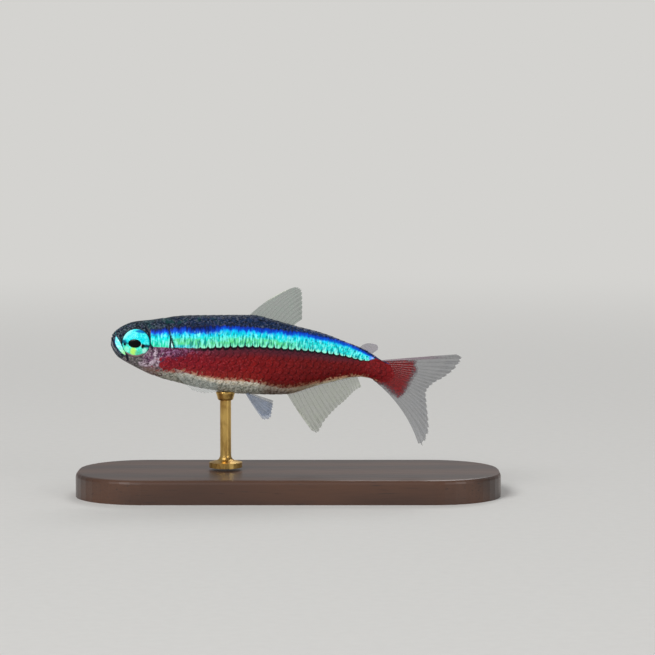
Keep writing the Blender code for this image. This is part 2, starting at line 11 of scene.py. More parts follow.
import bmesh
import bpy
import numpy as np
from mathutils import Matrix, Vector


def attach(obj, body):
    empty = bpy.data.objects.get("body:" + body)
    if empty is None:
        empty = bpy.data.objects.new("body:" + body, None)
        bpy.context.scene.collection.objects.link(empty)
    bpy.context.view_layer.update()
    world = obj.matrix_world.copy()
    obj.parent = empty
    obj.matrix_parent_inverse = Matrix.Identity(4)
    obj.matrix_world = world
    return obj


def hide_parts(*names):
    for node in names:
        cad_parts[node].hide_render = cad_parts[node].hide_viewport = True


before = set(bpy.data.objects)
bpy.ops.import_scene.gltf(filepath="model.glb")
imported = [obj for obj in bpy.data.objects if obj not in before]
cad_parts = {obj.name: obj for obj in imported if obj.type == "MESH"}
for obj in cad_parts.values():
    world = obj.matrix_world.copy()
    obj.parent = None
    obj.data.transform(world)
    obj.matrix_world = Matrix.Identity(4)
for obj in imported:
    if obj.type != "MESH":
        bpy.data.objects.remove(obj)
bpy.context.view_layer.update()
MM = 0.001

# Camera and its picture
IMAGE_PIXELS = 655
FOCAL_PIXELS = 2769
SENSOR_WIDTH = 36.0
CAMERA_DISTANCE = 0.30
CAMERA_ELEVATION = math.radians(4.5)
CAMERA_AIM = Vector((0.00424, 0.0, 0.018125))

# Driving sizes of the solids
STANDARD_LENGTH = 0.030
BASE_HEIGHT = 2.6 * MM
ROD_DIAMETER = 1.2 * MM
BELLY_ABOVE_BASE = 8.5 * MM
ROD_STATION = 0.42
ROD_CLEARANCE = 0.4 * MM

# Pose, in degrees and in shares of the standard length
NOSE_X = -0.0190
BODY_PITCH = 4.3
TAIL_DROOP = 20.0
DROOP_SPAN = (0.84, 0.96)
HEAD_YAW = 6.0
SIDE_BEND = 26.0
BEND_SPAN = (0.25, 1.45)
SPINE_STEP = 0.005

# Outline of the body, as (station, height or half width), and the rear edge of the head and gill covers
SNOUT = -0.005
BACK = [
    (SNOUT, 0.0), (-0.002, 0.030), (0.004, 0.043), (0.0145, 0.0540), (0.027, 0.0640), (0.040, 0.0720),
    (0.060, 0.0820), (0.080, 0.0880), (0.105, 0.0925), (0.130, 0.0965), (0.160, 0.1030), (0.187, 0.1095),
    (0.217, 0.1160), (0.250, 0.1210), (0.300, 0.1255), (0.340, 0.1285), (0.380, 0.1315), (0.413, 0.1340),
    (0.460, 0.1372), (0.507, 0.140), (0.565, 0.130), (0.661, 0.111), (0.758, 0.093), (0.854, 0.065),
    (0.902, 0.052), (0.942, 0.043), (0.964, 0.0385), (1.0, 0.043), (1.05, 0.044),
]
BELLY = [
    (SNOUT, 0.0), (0.000, 0.0130), (0.006, 0.0240), (0.013, 0.0335), (0.022, 0.0430), (0.035, 0.0512),
    (0.0595, 0.0635), (0.089, 0.0770), (0.1175, 0.0892), (0.139, 0.0978), (0.165, 0.1062), (0.1915, 0.1130),
    (0.2177, 0.1180), (0.2436, 0.1228), (0.2702, 0.1282), (0.2964, 0.1330), (0.3229, 0.1372),
    (0.372, 0.142), (0.4675, 0.149), (0.545, 0.147), (0.634, 0.140), (0.758, 0.096), (0.854, 0.0645),
    (0.902, 0.0523), (0.942, 0.043), (0.964, 0.0385), (1.0, 0.043), (1.05, 0.044),
]
HALF_WIDTH = [
    (SNOUT, 0.0), (0.002, 0.0205), (0.018, 0.035), (0.043, 0.046), (0.088, 0.058), (0.14, 0.066),
    (0.20, 0.071), (0.30, 0.0755), (0.38, 0.076), (0.50, 0.070), (0.65, 0.055), (0.78, 0.041),
    (0.90, 0.027), (0.96, 0.020), (1.0, 0.017), (1.05, 0.015),
]
BACK_ROUNDNESS = 2.05
BREAST_ROUNDNESS = 2.3
KEEL_ROUNDNESS = 1.75
KEEL_SPAN = (0.42, 0.62)
BODY_END = 1.04
HEAD_EDGE = [
    (0.168, 0.20), (0.176, 0.11), (0.195, 0.06), (0.213, 0.025), (0.220, -0.005), (0.212, -0.040),
    (0.190, -0.072), (0.160, -0.098), (0.142, -0.125), (0.130, -0.20),
]

# Head. Lines are (station, height) points, and nostrils are (station, height, radius)
EYE_STATION = 0.083
EYE_HEIGHT = 0.0138
EYE_RADIUS = 0.0505
EYE_BULGE = 0.50 * MM
EYE_SINK = 0.05 * MM
SOCKET_DEPTH = 0.34 * MM
ORBIT_RIM = 0.035 * MM
PUPIL_SWELL = 0.02 * MM
PUPIL_GROOVE = 0.03 * MM
MOUTH_FRONT_HEIGHT = 0.028
MOUTH_CORNER_HEIGHT = -0.032
MOUTH_LENGTH = 0.026
LIP_RISE = 0.050 * MM
LIP_OFFSET = 0.18 * MM
LIP_WIDTH = 0.09 * MM
CLEFT_DEPTH = 0.13 * MM
CLEFT_WIDTH = 0.07 * MM
CLEFT_SHADE_WIDTH = 0.115 * MM
JAW_OFFSET = 0.26 * MM
JAW_WIDTH = 0.13 * MM
NOSTRIL_DEPTH = 0.10 * MM
NOSTRILS = [(0.026, 0.034, 0.11 * MM), (0.035, 0.041, 0.09 * MM)]
SNOUT_LINE = [(0.0345, 0.024), (0.0415, 0.004), (0.0467, -0.0094), (0.0568, -0.0425), (0.0585, -0.052)]
CRESCENT = [
    (0.0128, 0.0262), (0.0140, 0.0215), (0.0169, 0.0121), (0.0248, -0.0034), (0.0357, -0.0180),
    (0.0445, -0.0265), (0.0530, -0.0325),
]
CRESCENT_HALF_WIDTH = 0.0086
EYE_REAR_LINE = [
    (0.1160, 0.0690), (0.1195, 0.0649), (0.1278, 0.0531), (0.1311, 0.0157), (0.1355, 0.0086),
    (0.142, 0.002),
]
GILL_LINE = [(0.1950, 0.0900), (0.1980, 0.0705), (0.2051, 0.0438), (0.2050, 0.0260), (0.2037, 0.0060)]
GILL_FORK = [(0.2060, 0.0430), (0.2100, 0.0330), (0.2204, 0.0054)]
GILL_SLIVER = [(0.2082, 0.0300), (0.2125, 0.0110)]
GILL_FRONT = [(0.182, 0.054), (0.176, 0.020), (0.173, -0.010), (0.166, -0.036), (0.153, -0.060)]
CHEEK_RIDGE = [
    (0.1522, -0.0107), (0.1564, -0.034), (0.1499, -0.0473), (0.1356, -0.0593), (0.1231, -0.063),
    (0.1025, -0.0596),
]
CHEEK_ARC = [(0.1858, -0.0162), (0.1737, -0.0272), (0.1654, -0.0487), (0.1644, -0.0704)]
GILL_ARC = [(0.2450, -0.012), (0.2440, -0.024), (0.2490, -0.040)]
CHEEK_SEAM = [(0.146, -0.010), (0.140, -0.030), (0.122, -0.046), (0.098, -0.052), (0.075, -0.046)]
JAW_SEAM = [(0.040, -0.040), (0.062, -0.056), (0.090, -0.070), (0.120, -0.084)]

# Ellipses of the pupil's groove and of its black, in shares of the eye's radius: (rearward, upward, half
# length, half height)
PUPIL_RIM = (-0.04, -0.10, 0.46, 0.33)
PUPIL = (-0.04, -0.06, 0.465, 0.30)

# Seams and ridges of the head's bones under its skin: (line, rise, half width)
HEAD_RELIEF = [
    (CHEEK_RIDGE, 0.018 * MM, 0.006), (CHEEK_ARC, 0.020 * MM, 0.005), (CHEEK_SEAM, -0.035 * MM, 0.0035),
    (GILL_FRONT, -0.040 * MM, 0.003), (EYE_REAR_LINE, -0.040 * MM, 0.003), (SNOUT_LINE, -0.035 * MM, 0.003),
    (JAW_SEAM, -0.030 * MM, 0.003), (CRESCENT, 0.030 * MM, 0.007),
]

# Dark lines, and pale lines that are painted highlights, on the head's skin and by the edge of the gill
# cover: (line, strength, half width)
HEAD_DARK = [(SNOUT_LINE, 1.0, 0.0044), (EYE_REAR_LINE, 1.0, 0.0052)]
HEAD_HIGHLIGHTS = [(CHEEK_RIDGE, 1.0, 0.0074), (CHEEK_ARC, 0.85, 0.0056)]
GILL_DARK = [(GILL_LINE, 1.0, 0.0036), (GILL_FORK, 1.0, 0.0030)]
GILL_HIGHLIGHTS = [(GILL_SLIVER, 0.9, 0.0026), (GILL_ARC, 0.55, 0.0052)]

# Markings, as (station, height) lines. The end of the tail fin's red is (height, station), and the spots at
# the stripe's end are (station, height, radius, colour); the last of them is a painted highlight
STRIPE_TOP = [
    (0.1244, 0.0665), (0.1723, 0.0708), (0.2077, 0.0760), (0.2362, 0.0800), (0.2912, 0.0869),
    (0.3438, 0.0915), (0.4302, 0.0962), (0.5150, 0.0966), (0.5719, 0.0943), (0.6738, 0.0904),
    (0.8210, 0.0699), (0.8896, 0.0499), (0.9358, 0.0370),
]
STRIPE_BOTTOM = [
    (0.1333, 0.0037), (0.3120, 0.0104), (0.3843, 0.0178), (0.5312, 0.0289), (0.6793, 0.0282),
    (0.8271, 0.0199), (0.8989, 0.0130), (0.926, 0.0195), (0.938, 0.031),
]
TAIL_RED_TOP = [
    (0.95, 0.0340), (0.9658, 0.0377), (1.0029, 0.0576), (1.0478, 0.0813), (1.0741, 0.0847), (1.12, 0.084),
]
TAIL_RED_BOTTOM = [(0.95, -0.0385), (0.9984, -0.0385), (1.0243, -0.0425), (1.0612, -0.0503), (1.12, -0.052)]
TAIL_RED_END = [
    (-0.060, 1.066), (-0.0468, 1.0781), (-0.0281, 1.0882), (0.0001, 1.0894), (0.0358, 1.0918),
    (0.0639, 1.0929), (0.0847, 1.0741),
]
END_SPOTS_AND_HIGHLIGHT = [
    (0.9301, 0.0310, 0.0085, (96, 150, 250)), (0.9350, 0.0335, 0.0050, (170, 176, 255)),
    # A painted highlight, by the rear end of the adipose fin
    (0.9388, 0.0445, 0.0050, (214, 184, 204)),
]
RED_LOW = [
    (0.1757, -0.0790), (0.2240, -0.0790), (0.2645, -0.0750), (0.3053, -0.0815), (0.3462, -0.0880),
    (0.4226, -0.0930), (0.5093, -0.0925), (0.5358, -0.0950), (0.5815, -0.1040), (0.6343, -0.1080),
    (0.6861, -0.1010), (0.7340, -0.0880), (0.7935, -0.0700), (0.8332, -0.0585), (0.8868, -0.0470),
    (0.93, -0.0390), (1.0, -0.042),
]

# Scales: their pitches are shares of the standard length, and their own sizes are shares of the pitches
ROW_PITCH = 0.0262
COLUMN_PITCH = 0.0272
TAIL_SHRINK = 0.24
SHRINK_SPAN = (0.45, 1.0)
SCALE_LENGTH = 2.05
SCALE_HALF_WIDTH = 0.80
SCALE_CELLS = 10
SCALE_THICKNESS = 0.010 * MM
SCALE_TILT = 0.012
SCALE_VARIATION = 0.02
SCALE_CORNERS = 0.34
COAT = 0.062 * MM
ROW_COUNT = 8
FIRST_SCALE = 0.10
SCALES_END = 1.030
TAIL_TAPER = 0.94
TAPER_SPAN = (0.965, 1.035)

# The scales' places on the baked map, where each has a small patch
UV_PATCH = 0.003
UV_ALONG = 0.9
UV_ACROSS = 0.24
UV_FLANK = 0.18

# Skin: its rings' spacing is (share of the rings, root of the way from the snout)
SKIN_SIDES = 288
SKIN_RINGS = 320
RING_SPACING = [(0.0, 0.0), (0.50, 0.475), (0.92, 0.975), (1.0, 1.02)]

# Fins. Roots are spans of stations, rims are (share of the root, station, height), lengths of rays are
# (share of the root, length), and bows are shares of a ray's length
DORSAL_ROOT = (0.488, 0.650)
DORSAL_RIM = [
    (0.0, 0.632, 0.2475), (0.15, 0.648, 0.2525), (0.40, 0.668, 0.244), (0.70, 0.6745, 0.195),
    (1.0, 0.6775, 0.136),
]
DORSAL_RAYS = 11
DORSAL_BOW = 0.05
ANAL_ROOT = (0.643, 0.9025)
ANAL_RIM = [
    (0.0, 0.747, -0.267), (0.10, 0.763, -0.270), (0.25, 0.787, -0.226), (0.50, 0.834, -0.166),
    (0.75, 0.889, -0.120), (1.0, 0.938, -0.080),
]
ANAL_RAYS = 18
ANAL_BOW = -0.02
ANAL_SWAY = -0.012
ADIPOSE_ROOT = (0.888, 0.928)
ADIPOSE_RIM = [(0.0, 0.912, 0.079), (0.4, 0.930, 0.0835), (0.75, 0.9385, 0.0765), (1.0, 0.9395, 0.0665)]
ADIPOSE_BOW = 0.12
CAUDAL_ROOT_HEIGHT = 0.041
CAUDAL_ROOT_CURVE = 0.030
ROOT_CURVE_SPAN = (0.93, 1.0)
CAUDAL_RIM = [
    (-1.0, 1.229, -0.176), (-0.92, 1.240, -0.165), (-0.75, 1.237, -0.124), (-0.5, 1.2115, -0.074),
    (-0.25, 1.182, -0.029), (0.0, 1.163, 0.009), (0.25, 1.175, 0.045), (0.5, 1.205, 0.087),
    (0.75, 1.2295, 0.137), (0.92, 1.2375, 0.178), (1.0, 1.220, 0.187),
]
CAUDAL_RAYS = 19
CAUDAL_CUP = 0.045
CAUDAL_BOW = 0.065
UPPER_LOBE_CUP = 0.55
PELVIC_RAYS = 7
PELVIC_ROOT = [(0.500, 0.022, -0.1565), (0.530, 0.036, -0.1525)]
PELVIC_END_RAYS = [(0.55, 0.30, -0.80), (0.94, 0.36, -0.30)]
PELVIC_LENGTHS = [(0.0, 0.098), (0.25, 0.104), (0.6, 0.084), (1.0, 0.066)]
PELVIC_CURL = (0.10, 0, 0)
PECTORAL_RAYS = 10
PECTORAL_ROOT = [(0.238, -0.070), (0.242, -0.100)]
PECTORAL_OUT = 0.006
PECTORAL_END_RAYS = [(0.86, 0.44, -0.22), (0.70, 0.46, -0.52)]
PECTORAL_LENGTHS = [(0.0, 0.165), (0.2, 0.175), (0.6, 0.135), (1.0, 0.075)]
PECTORAL_CURL = (0, -0.06, 0)
FIN_SINK = 0.45 * MM
MEMBRANE = 0.045 * MM
RAY_HALF_THICKNESS = 0.032 * MM
RAY_COLUMNS = 10
RAY_WIDTH = 0.105
RAY_TAPER = 0.05
FORK_SPREAD = 0.17
FORK_SPAN = (0.42, 0.95)
SECOND_FORK_SPREAD = 0.085
SECOND_FORK_SPAN = (0.70, 1.0)
RIM_NOTCH = 0.035
RIM_SPAN = (0.75, 1.0)


def smooth_curve(points):
    """A smooth function through the points that doesn't overshoot them (a monotone cubic)."""
    stations, values = (np.array(row, float) for row in zip(*points))
    steps = np.diff(stations)
    slopes = np.diff(values) / steps
    tangents = np.zeros(len(stations))
    tangents[0], tangents[-1] = slopes[0], slopes[-1]
    for i in range(1, len(stations) - 1):
        if slopes[i - 1] * slopes[i] > 0:
            before, after = 2 * steps[i] + steps[i - 1], steps[i] + 2 * steps[i - 1]
            tangents[i] = (before + after) / (before / slopes[i - 1] + after / slopes[i])

    def value(station):
        i = np.clip(np.searchsorted(stations, station) - 1, 0, len(steps) - 1)
        u = np.clip((station - stations[i]) / steps[i], 0, 1)
        start = values[i] * (1 + 2 * u) * (1 - u) ** 2 + tangents[i] * steps[i] * u * (1 - u) ** 2
        end = values[i + 1] * u * u * (3 - 2 * u) - tangents[i + 1] * steps[i] * u * u * (1 - u)
        return start + end

    return value


def way_root(station):
    """The root of the way from the snout."""
    return np.sqrt(np.maximum(station - SNOUT, 0.0))


def blunt_curve(points):
    """A smooth_curve that starts round at the snout, because it runs over the root of the way from it."""
    curve = smooth_curve([(math.sqrt(station - SNOUT), value) for station, value in points])
    return lambda station: curve(way_root(station))


back_height = blunt_curve(BACK)
belly_depth = blunt_curve(BELLY)
half_width = blunt_curve(HALF_WIDTH)
stripe_top = smooth_curve(STRIPE_TOP)
stripe_bottom = smooth_curve(STRIPE_BOTTOM)
red_low = smooth_curve(RED_LOW)
tail_red_top = smooth_curve(TAIL_RED_TOP)
tail_red_bottom = smooth_curve(TAIL_RED_BOTTOM)
tail_red_end = smooth_curve(TAIL_RED_END)
head_edge = smooth_curve([(-height, station) for station, height in HEAD_EDGE])


def ease(value, start, end):
    """0 before start, 1 after end and smooth between."""
    share = np.clip((value - start) / (end - start), 0, 1)
    return share * share * (3 - 2 * share)


def roundness(station, upper):
    """The power of the body's section: 2 is an ellipse, less is a keel and more is boxier."""
    below = BREAST_ROUNDNESS + (KEEL_ROUNDNESS - BREAST_ROUNDNESS) * ease(station, *KEEL_SPAN)
    return np.where(upper, BACK_ROUNDNESS, below)


def profile(station, upper):
    """How far the body reaches above or below its middle line."""
    return np.where(upper, back_height(station), belly_depth(station))


def flank(station, height):
    """The body's half width at a station and a height."""
    power = roundness(station, np.greater_equal(height, 0))
    limit = np.maximum(profile(station, np.greater_equal(height, 0)), 1e-9)
    return half_width(station) * np.maximum(1 - (np.abs(height) / limit) ** power, 0.0) ** (1 / power)


def root_curve(station, up):
    """How far forward the curve of the tail fin's root reaches. up is -1 to 1 over the stalk's section."""
    return CAUDAL_ROOT_CURVE * up * up * ease(station, *ROOT_CURVE_SPAN)


def tail_taper(station, up):
    """What is left of the half width where the body ends inside the tail fin."""
    return 1 - TAIL_TAPER * ease(station + root_curve(station, up), *TAPER_SPAN)


def spine_angles(station):
    """Pitch, which lowers the tail, and yaw, which turns it away from the camera's side, in radians."""
    pitch = BODY_PITCH + TAIL_DROOP * ease(station, *DROOP_SPAN)
    yaw = HEAD_YAW - SIDE_BEND * ease(station, *BEND_SPAN)
    return np.radians(pitch), np.radians(yaw)


def spine_tangent(station):
    """The direction of the spine at a station, as a unit vector."""
    pitch, yaw = spine_angles(station)
    return np.stack([np.cos(pitch) * np.cos(yaw), np.cos(pitch) * np.sin(yaw), -np.sin(pitch)], axis=-1)


SPINE_STATIONS = np.arange(-0.1, 1.5, SPINE_STEP)
SPINE_STEPS = spine_tangent(SPINE_STATIONS[:-1] + SPINE_STEP / 2) * SPINE_STEP * STANDARD_LENGTH
SPINE_POINTS = np.concatenate([np.zeros((1, 3)), np.cumsum(SPINE_STEPS, axis=0)])


def bend(points):
    """Where points of the straight fish lie on the bent one, before it is set on its stand."""
    station = points[:, 0] / STANDARD_LENGTH
    pitch, yaw = spine_angles(station)
    spine = np.stack([np.interp(station, SPINE_STATIONS, column) for column in SPINE_POINTS.T], axis=1)
    aside = np.stack([-np.sin(yaw), np.cos(yaw), np.zeros_like(yaw)], axis=1)
    above = np.stack([np.sin(pitch) * np.cos(yaw), np.sin(pitch) * np.sin(yaw), np.cos(pitch)], axis=1)
    return spine + points[:, 1:2] * aside + points[:, 2:3] * above


def straight(station, aside, height):
    """Points of the straight fish in metres, from shares of its standard length."""
    parts = np.broadcast_arrays(*(np.asarray(part, float) for part in (station, aside, height)))
    return np.stack(parts, axis=-1) * STANDARD_LENGTH


BELLY_ON_ROD = bend(straight([ROD_STATION], 0, -belly_depth(ROD_STATION)))[0]
SPINE_AT_ROD = bend(straight([ROD_STATION], 0, 0))[0]
BELLY_HEIGHT = BASE_HEIGHT + BELLY_ABOVE_BASE
PLACE = np.array([NOSE_X - bend(np.zeros((1, 3)))[0, 0], -SPINE_AT_ROD[1], BELLY_HEIGHT - BELLY_ON_ROD[2]])


# The flank as a map: each station's section, by shares of its arc from the belly's edge (-1) over the
# widest line (0) to the edge of the back (1).
MAP_ROOTS = np.linspace(0, math.sqrt(1.05 - SNOUT), 241)
MAP_ARCS = np.linspace(-1, 1, 241)
MAP_ANGLES = np.linspace(-math.pi / 2, math.pi / 2, 1441)


def flank_map():
    """The map's half widths and heights, and the lengths of the arcs above and below the widest line."""
    stations = (MAP_ROOTS**2 + SNOUT)[:, None]
    angles = MAP_ANGLES[None, :]
    share = 2 / roundness(stations, angles >= 0)
    across = half_width(stations) * np.abs(np.cos(angles)) ** share * tail_taper(stations, np.sin(angles))
    height = profile(stations, angles >= 0) * np.sign(angles) * np.abs(np.sin(angles)) ** share
    steps = np.hypot(np.diff(across, axis=1), np.diff(height, axis=1))
    arcs = np.concatenate([np.zeros((len(stations), 1)), np.cumsum(steps, axis=1)], axis=1)
    arcs -= arcs[:, len(MAP_ANGLES) // 2][:, None]
    above, below = np.maximum(arcs[:, -1], 1e-9), np.maximum(-arcs[:, 0], 1e-9)
    shares = arcs / np.where(arcs >= 0, above[:, None], below[:, None])
    widths = np.array([np.interp(MAP_ARCS, row, value) for row, value in zip(shares, across)])
    heights = np.array([np.interp(MAP_ARCS, row, value) for row, value in zip(shares, height)])
    return widths, heights, above, below


MAP_WIDTHS, MAP_HEIGHTS, ARC_ABOVE, ARC_BELOW = flank_map()


def arc_limit(station, arc):
    """How long the section's arc is, above the widest line where arc is positive, else below it."""
    root = way_root(station)
    return np.where(arc >= 0, np.interp(root, MAP_ROOTS, ARC_ABOVE), np.interp(root, MAP_ROOTS, ARC_BELOW))


def on_flank(station, arc):
    """Half width and height at a station and an arc length, which may run over the back or belly."""
    share = arc / arc_limit(station, arc)
    beyond = np.abs(share) > 1
    share = np.where(beyond, np.sign(share) * (2 - np.abs(share)), share)
    row = np.clip(way_root(station) / MAP_ROOTS[-1], 0, 1) * (len(MAP_ROOTS) - 1.001)
    column = np.clip((share + 1) / 2, 0, 1) * (len(MAP_ARCS) - 1.001)
    i, j = row.astype(int), column.astype(int)
    a, b = row - i, column - j

    def read(table):
        near = table[i, j] * (1 - b) + table[i, j + 1] * b
        far = table[i + 1, j] * (1 - b) + table[i + 1, j + 1] * b
        return near * (1 - a) + far * a

    return np.where(beyond, -1, 1) * read(MAP_WIDTHS), read(MAP_HEIGHTS)


COLUMN_STEP = 0.001
COLUMN_STATIONS = np.arange(0.0, 1.08, COLUMN_STEP)


def scale_size(station):
    """Scales are smaller towards the tail: their size as a share of that at the front."""
    return 1 - TAIL_SHRINK * ease(station, *SHRINK_SPAN)


COLUMNS = np.cumsum(COLUMN_STEP / (COLUMN_PITCH * scale_size(COLUMN_STATIONS - COLUMN_STEP / 2)))


def column_at(station):
    """How many columns of scales lie before a station."""
    return np.interp(station, COLUMN_STATIONS, COLUMNS)


def segment_offset(station, height, start, end):
    """Where along a segment, from 0 to 1, places are nearest to it, and how far off they are."""
    (s0, h0), (s1, h1) = start, end
    run_s, run_h = s1 - s0, h1 - h0
    share = np.clip(((station - s0) * run_s + (height - h0) * run_h) / (run_s**2 + run_h**2), 0, 1)
    return share, station - s0 - share * run_s, height - h0 - share * run_h


def line_distance(station, height, line):
    """How far places on the flank are from a line of (station, height) points."""
    offsets = [segment_offset(station, height, *ends)[1:] for ends in zip(line, line[1:])]
    return np.min([np.hypot(*offset) for offset in offsets], axis=0)


def ridge(distance, width):
    """1 on a line, falling off smoothly to both sides."""
    return np.exp(-((distance / width) ** 2))


def drawn(station, height, lines):
    """How strongly the strongest of some (line, strength, half width) lines shows at places on the flank."""
    marks = [strength * ridge(line_distance(station, height, line), wide) for line, strength, wide in lines]
    return np.max(marks, axis=0)


# Meshes


def read_vectors(items, key):
    values = np.empty(len(items) * 3)
    items.foreach_get(key, values)
    return values.reshape(-1, 3)


def read_points(mesh):
    return read_vectors(mesh.vertices, "co")


def write_points(mesh, points):
    mesh.vertices.foreach_set("co", np.ascontiguousarray(points, np.float32).ravel())
    mesh.update()


def add_values(mesh, name, *columns):
    """Keeps three values for each point in an attribute, for the paint to read."""
    columns = [*columns, *[0.0] * (3 - len(columns))]
    values = np.stack([np.broadcast_to(column, len(mesh.vertices)) for column in columns], axis=1)
    attribute = mesh.attributes.new(name, "FLOAT_VECTOR", "POINT")
    attribute.data.foreach_set("vector", np.ascontiguousarray(values, np.float32).ravel())


def fill_mesh(mesh, shape):
    """Moves a bmesh into a mesh, with its faces made to point out."""
    shape.normal_update()
    bmesh.ops.recalc_face_normals(shape, faces=shape.faces[:])
    shape.to_mesh(mesh)
    shape.free()


def point_out(mesh):
    """Makes the faces of a closed mesh point out, after its points have been moved."""
    shape = bmesh.new()
    shape.from_mesh(mesh)
    fill_mesh(mesh, shape)


def add_object(name, mesh):
    """A new object, from a mesh or from a bmesh."""
    if isinstance(mesh, bmesh.types.BMesh):
        shape, mesh = mesh, bpy.data.meshes.new(name)
        fill_mesh(mesh, shape)
    piece = bpy.data.objects.new(name, mesh)
    bpy.context.scene.collection.objects.link(piece)
    mesh.shade_smooth()
    return piece


def finish_piece(piece, paint, slot, *replaced):
    """Paints the piece, lets it ride on the body and hides the solids that it stands for. Its slot is not
    used.
    """
    piece.data.materials.clear()
    piece.data.materials.append(paint)
    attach(piece, "root")
    if replaced:
        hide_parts(*replaced)
    return piece


def mark_body(mesh, points):
    """Keeps the straight places, and how they lie to the stripe and to the red, for the paint."""
    station, aside, height = (points / STANDARD_LENGTH).T
    low, high = stripe_bottom(station), stripe_top(station)
    share = (height - low) / (high - low)
    level = np.clip(height / profile(station, height >= 0), -1.2, 1.2)
    add_values(mesh, "body", station, aside, height)
    add_values(mesh, "bands", share, height - red_low(station), level)
    add_values(mesh, "columns", column_at(station))


def flat_slab(columns, rows):
    """A closed block of one unit, with a grid of cells on its lower and upper side."""
    shape = bmesh.new()
    bmesh.ops.create_grid(shape, x_segments=columns, y_segments=rows, size=0.5)
    made = bmesh.ops.extrude_face_region(shape, geom=shape.faces[:], use_keep_orig=True)
    moved = [item for item in made["geom"] if isinstance(item, bmesh.types.BMVert)]
    bmesh.ops.translate(shape, verts=moved, vec=(0, 0, 1))
    mesh = bpy.data.meshes.new("slab")
    shape.to_mesh(mesh)
    shape.free()
    return mesh


def shaped_slab(columns, rows, place):
    """A closed thin form. place(u, v, side) gives arrays of its points, where side is -1 or 1."""
    mesh = flat_slab(columns, rows)
    u, v, side = read_points(mesh).T
    write_points(mesh, place(u + 0.5, v + 0.5, np.where(side > 0.5, 1.0, -1.0)))
    point_out(mesh)
    return mesh


# Eyes


class EyeFrame:
    """An eye's middle, and its outward, rearward and upward directions. sign is -1 on the left."""

    def __init__(self, sign):
        reach = np.array([-EYE_RADIUS, EYE_RADIUS])
        widening = np.diff(flank(EYE_STATION + reach, EYE_HEIGHT))[0] / (2 * EYE_RADIUS)
        rise = np.diff(flank(EYE_STATION, EYE_HEIGHT + reach))[0] / (2 * EYE_RADIUS)
        self.out = np.array([-widening, sign, -rise])
        self.out /= np.linalg.norm(self.out)
        self.rear = np.array([1.0, sign * widening, 0.0])
        self.rear /= np.linalg.norm(self.rear)
        self.up = np.cross(self.rear, self.out) * sign
        turns = np.linspace(0, 2 * math.pi, 24, endpoint=False)
        rim = flank(EYE_STATION + EYE_RADIUS * np.cos(turns), EYE_HEIGHT + EYE_RADIUS * np.sin(turns))
        self.middle = straight(EYE_STATION, sign * rim.mean(), EYE_HEIGHT)

    def local(self, points):
        """Rearward and upward places, as shares of the eye's radius, and heights over its rim in metres."""
        away = points - self.middle
        radius = EYE_RADIUS * STANDARD_LENGTH
        return away @ self.rear / radius, away @ self.up / radius, away @ self.out


def eyeball(sign):
    """A flattened ball, a little out of its socket, with a fine groove round its pupil."""
    eye = EyeFrame(sign)
    shape = bmesh.new()
    bmesh.ops.create_uvsphere(shape, u_segments=96, v_segments=64, radius=1)
    side = "left" if sign < 0 else "right"
    piece = add_object(f"eyeball_{side}", shape)
    x, y, z = read_points(piece.data).T
    radius = EYE_RADIUS * STANDARD_LENGTH
    pupil_x, pupil_y, long, high = PUPIL_RIM
    pupil = np.hypot((x - pupil_x) / long, (y - pupil_y) / high)
    swell = PUPIL_SWELL * ridge(np.maximum(pupil - 1, 0), 0.5) - PUPIL_GROOVE * ridge(pupil - 1.02, 0.12)
    lift = z * EYE_BULGE - EYE_SINK + np.where(z > 0, swell, 0)
    points = np.outer(x * radius, eye.rear) + np.outer(y * radius, eye.up) + np.outer(lift, eye.out)
    write_points(piece.data, bend(eye.middle + points) + PLACE)
    point_out(piece.data)
    add_values(piece.data, "iris", x, y, z)
    return finish_piece(piece, eye_paint(), "eye", f"eye_{side}")


# Skin


def front_station(height):
    """Where the outline of the head's front crosses a height, found by halving."""
    ahead, behind = SNOUT, 0.1
    for _ in range(40):
        middle = (ahead + behind) / 2
        if profile(middle, height >= 0) < abs(height):
            ahead = middle
        else:
            behind = middle
    return behind


def mouth_line():
    """Points along the line of the mouth, from its right corner round the front to its left corner."""
    points = []
    for share in np.linspace(-1, 1, 81):
        height = MOUTH_FRONT_HEIGHT + (MOUTH_CORNER_HEIGHT - MOUTH_FRONT_HEIGHT) * share * share
        station = front_station(height) + MOUTH_LENGTH * share * share
        points.append(straight(station, -math.copysign(flank(station, height), share), height))
    return np.array(points)


def mouth_relief(points):
    """The push of the lips and their cleft outwards, the painted shade in the cleft and the lower jaw's
    edge.
    """
    line = mouth_line()
    near = points[:, 0] < 0.075 * STANDARD_LENGTH
    push, dark, jaw = np.zeros((3, len(points)))
    away = points[near][:, None, :] - line[None, :, :]
    distance = np.linalg.norm(away, axis=2)
    nearest = distance.argmin(axis=1)
    gap = distance[np.arange(len(nearest)), nearest]
    ahead = (points[near] - line[nearest]) @ np.array([-0.8, 0.0, -0.6])
    taper = 1 - 0.6 * np.abs(np.linspace(-1, 1, len(line)))[nearest] ** 3
    lips = LIP_RISE * ridge(gap - LIP_OFFSET, LIP_WIDTH) * taper
    push[near] = lips - CLEFT_DEPTH * ridge(gap, CLEFT_WIDTH) * taper
    # Painted shade in the mouth's cleft
    dark[near] = ridge(gap, CLEFT_SHADE_WIDTH) * taper
    jaw[near] = ridge(gap - JAW_OFFSET, JAW_WIDTH) * taper * ease(ahead, 0.02 * MM, 0.10 * MM)
    return push, dark, jaw


def head_relief(station, height):
    """Seams and ridges of the bones under the skin of the head, in metres."""
    return sum(rise * ridge(line_distance(station, height, line), wide) for line, rise, wide in HEAD_RELIEF)


def nostril(station, height, place, level, size):
    """1 in a nostril, falling off smoothly round it."""
    return ridge(np.hypot(station - place, height - level) * STANDARD_LENGTH, size)


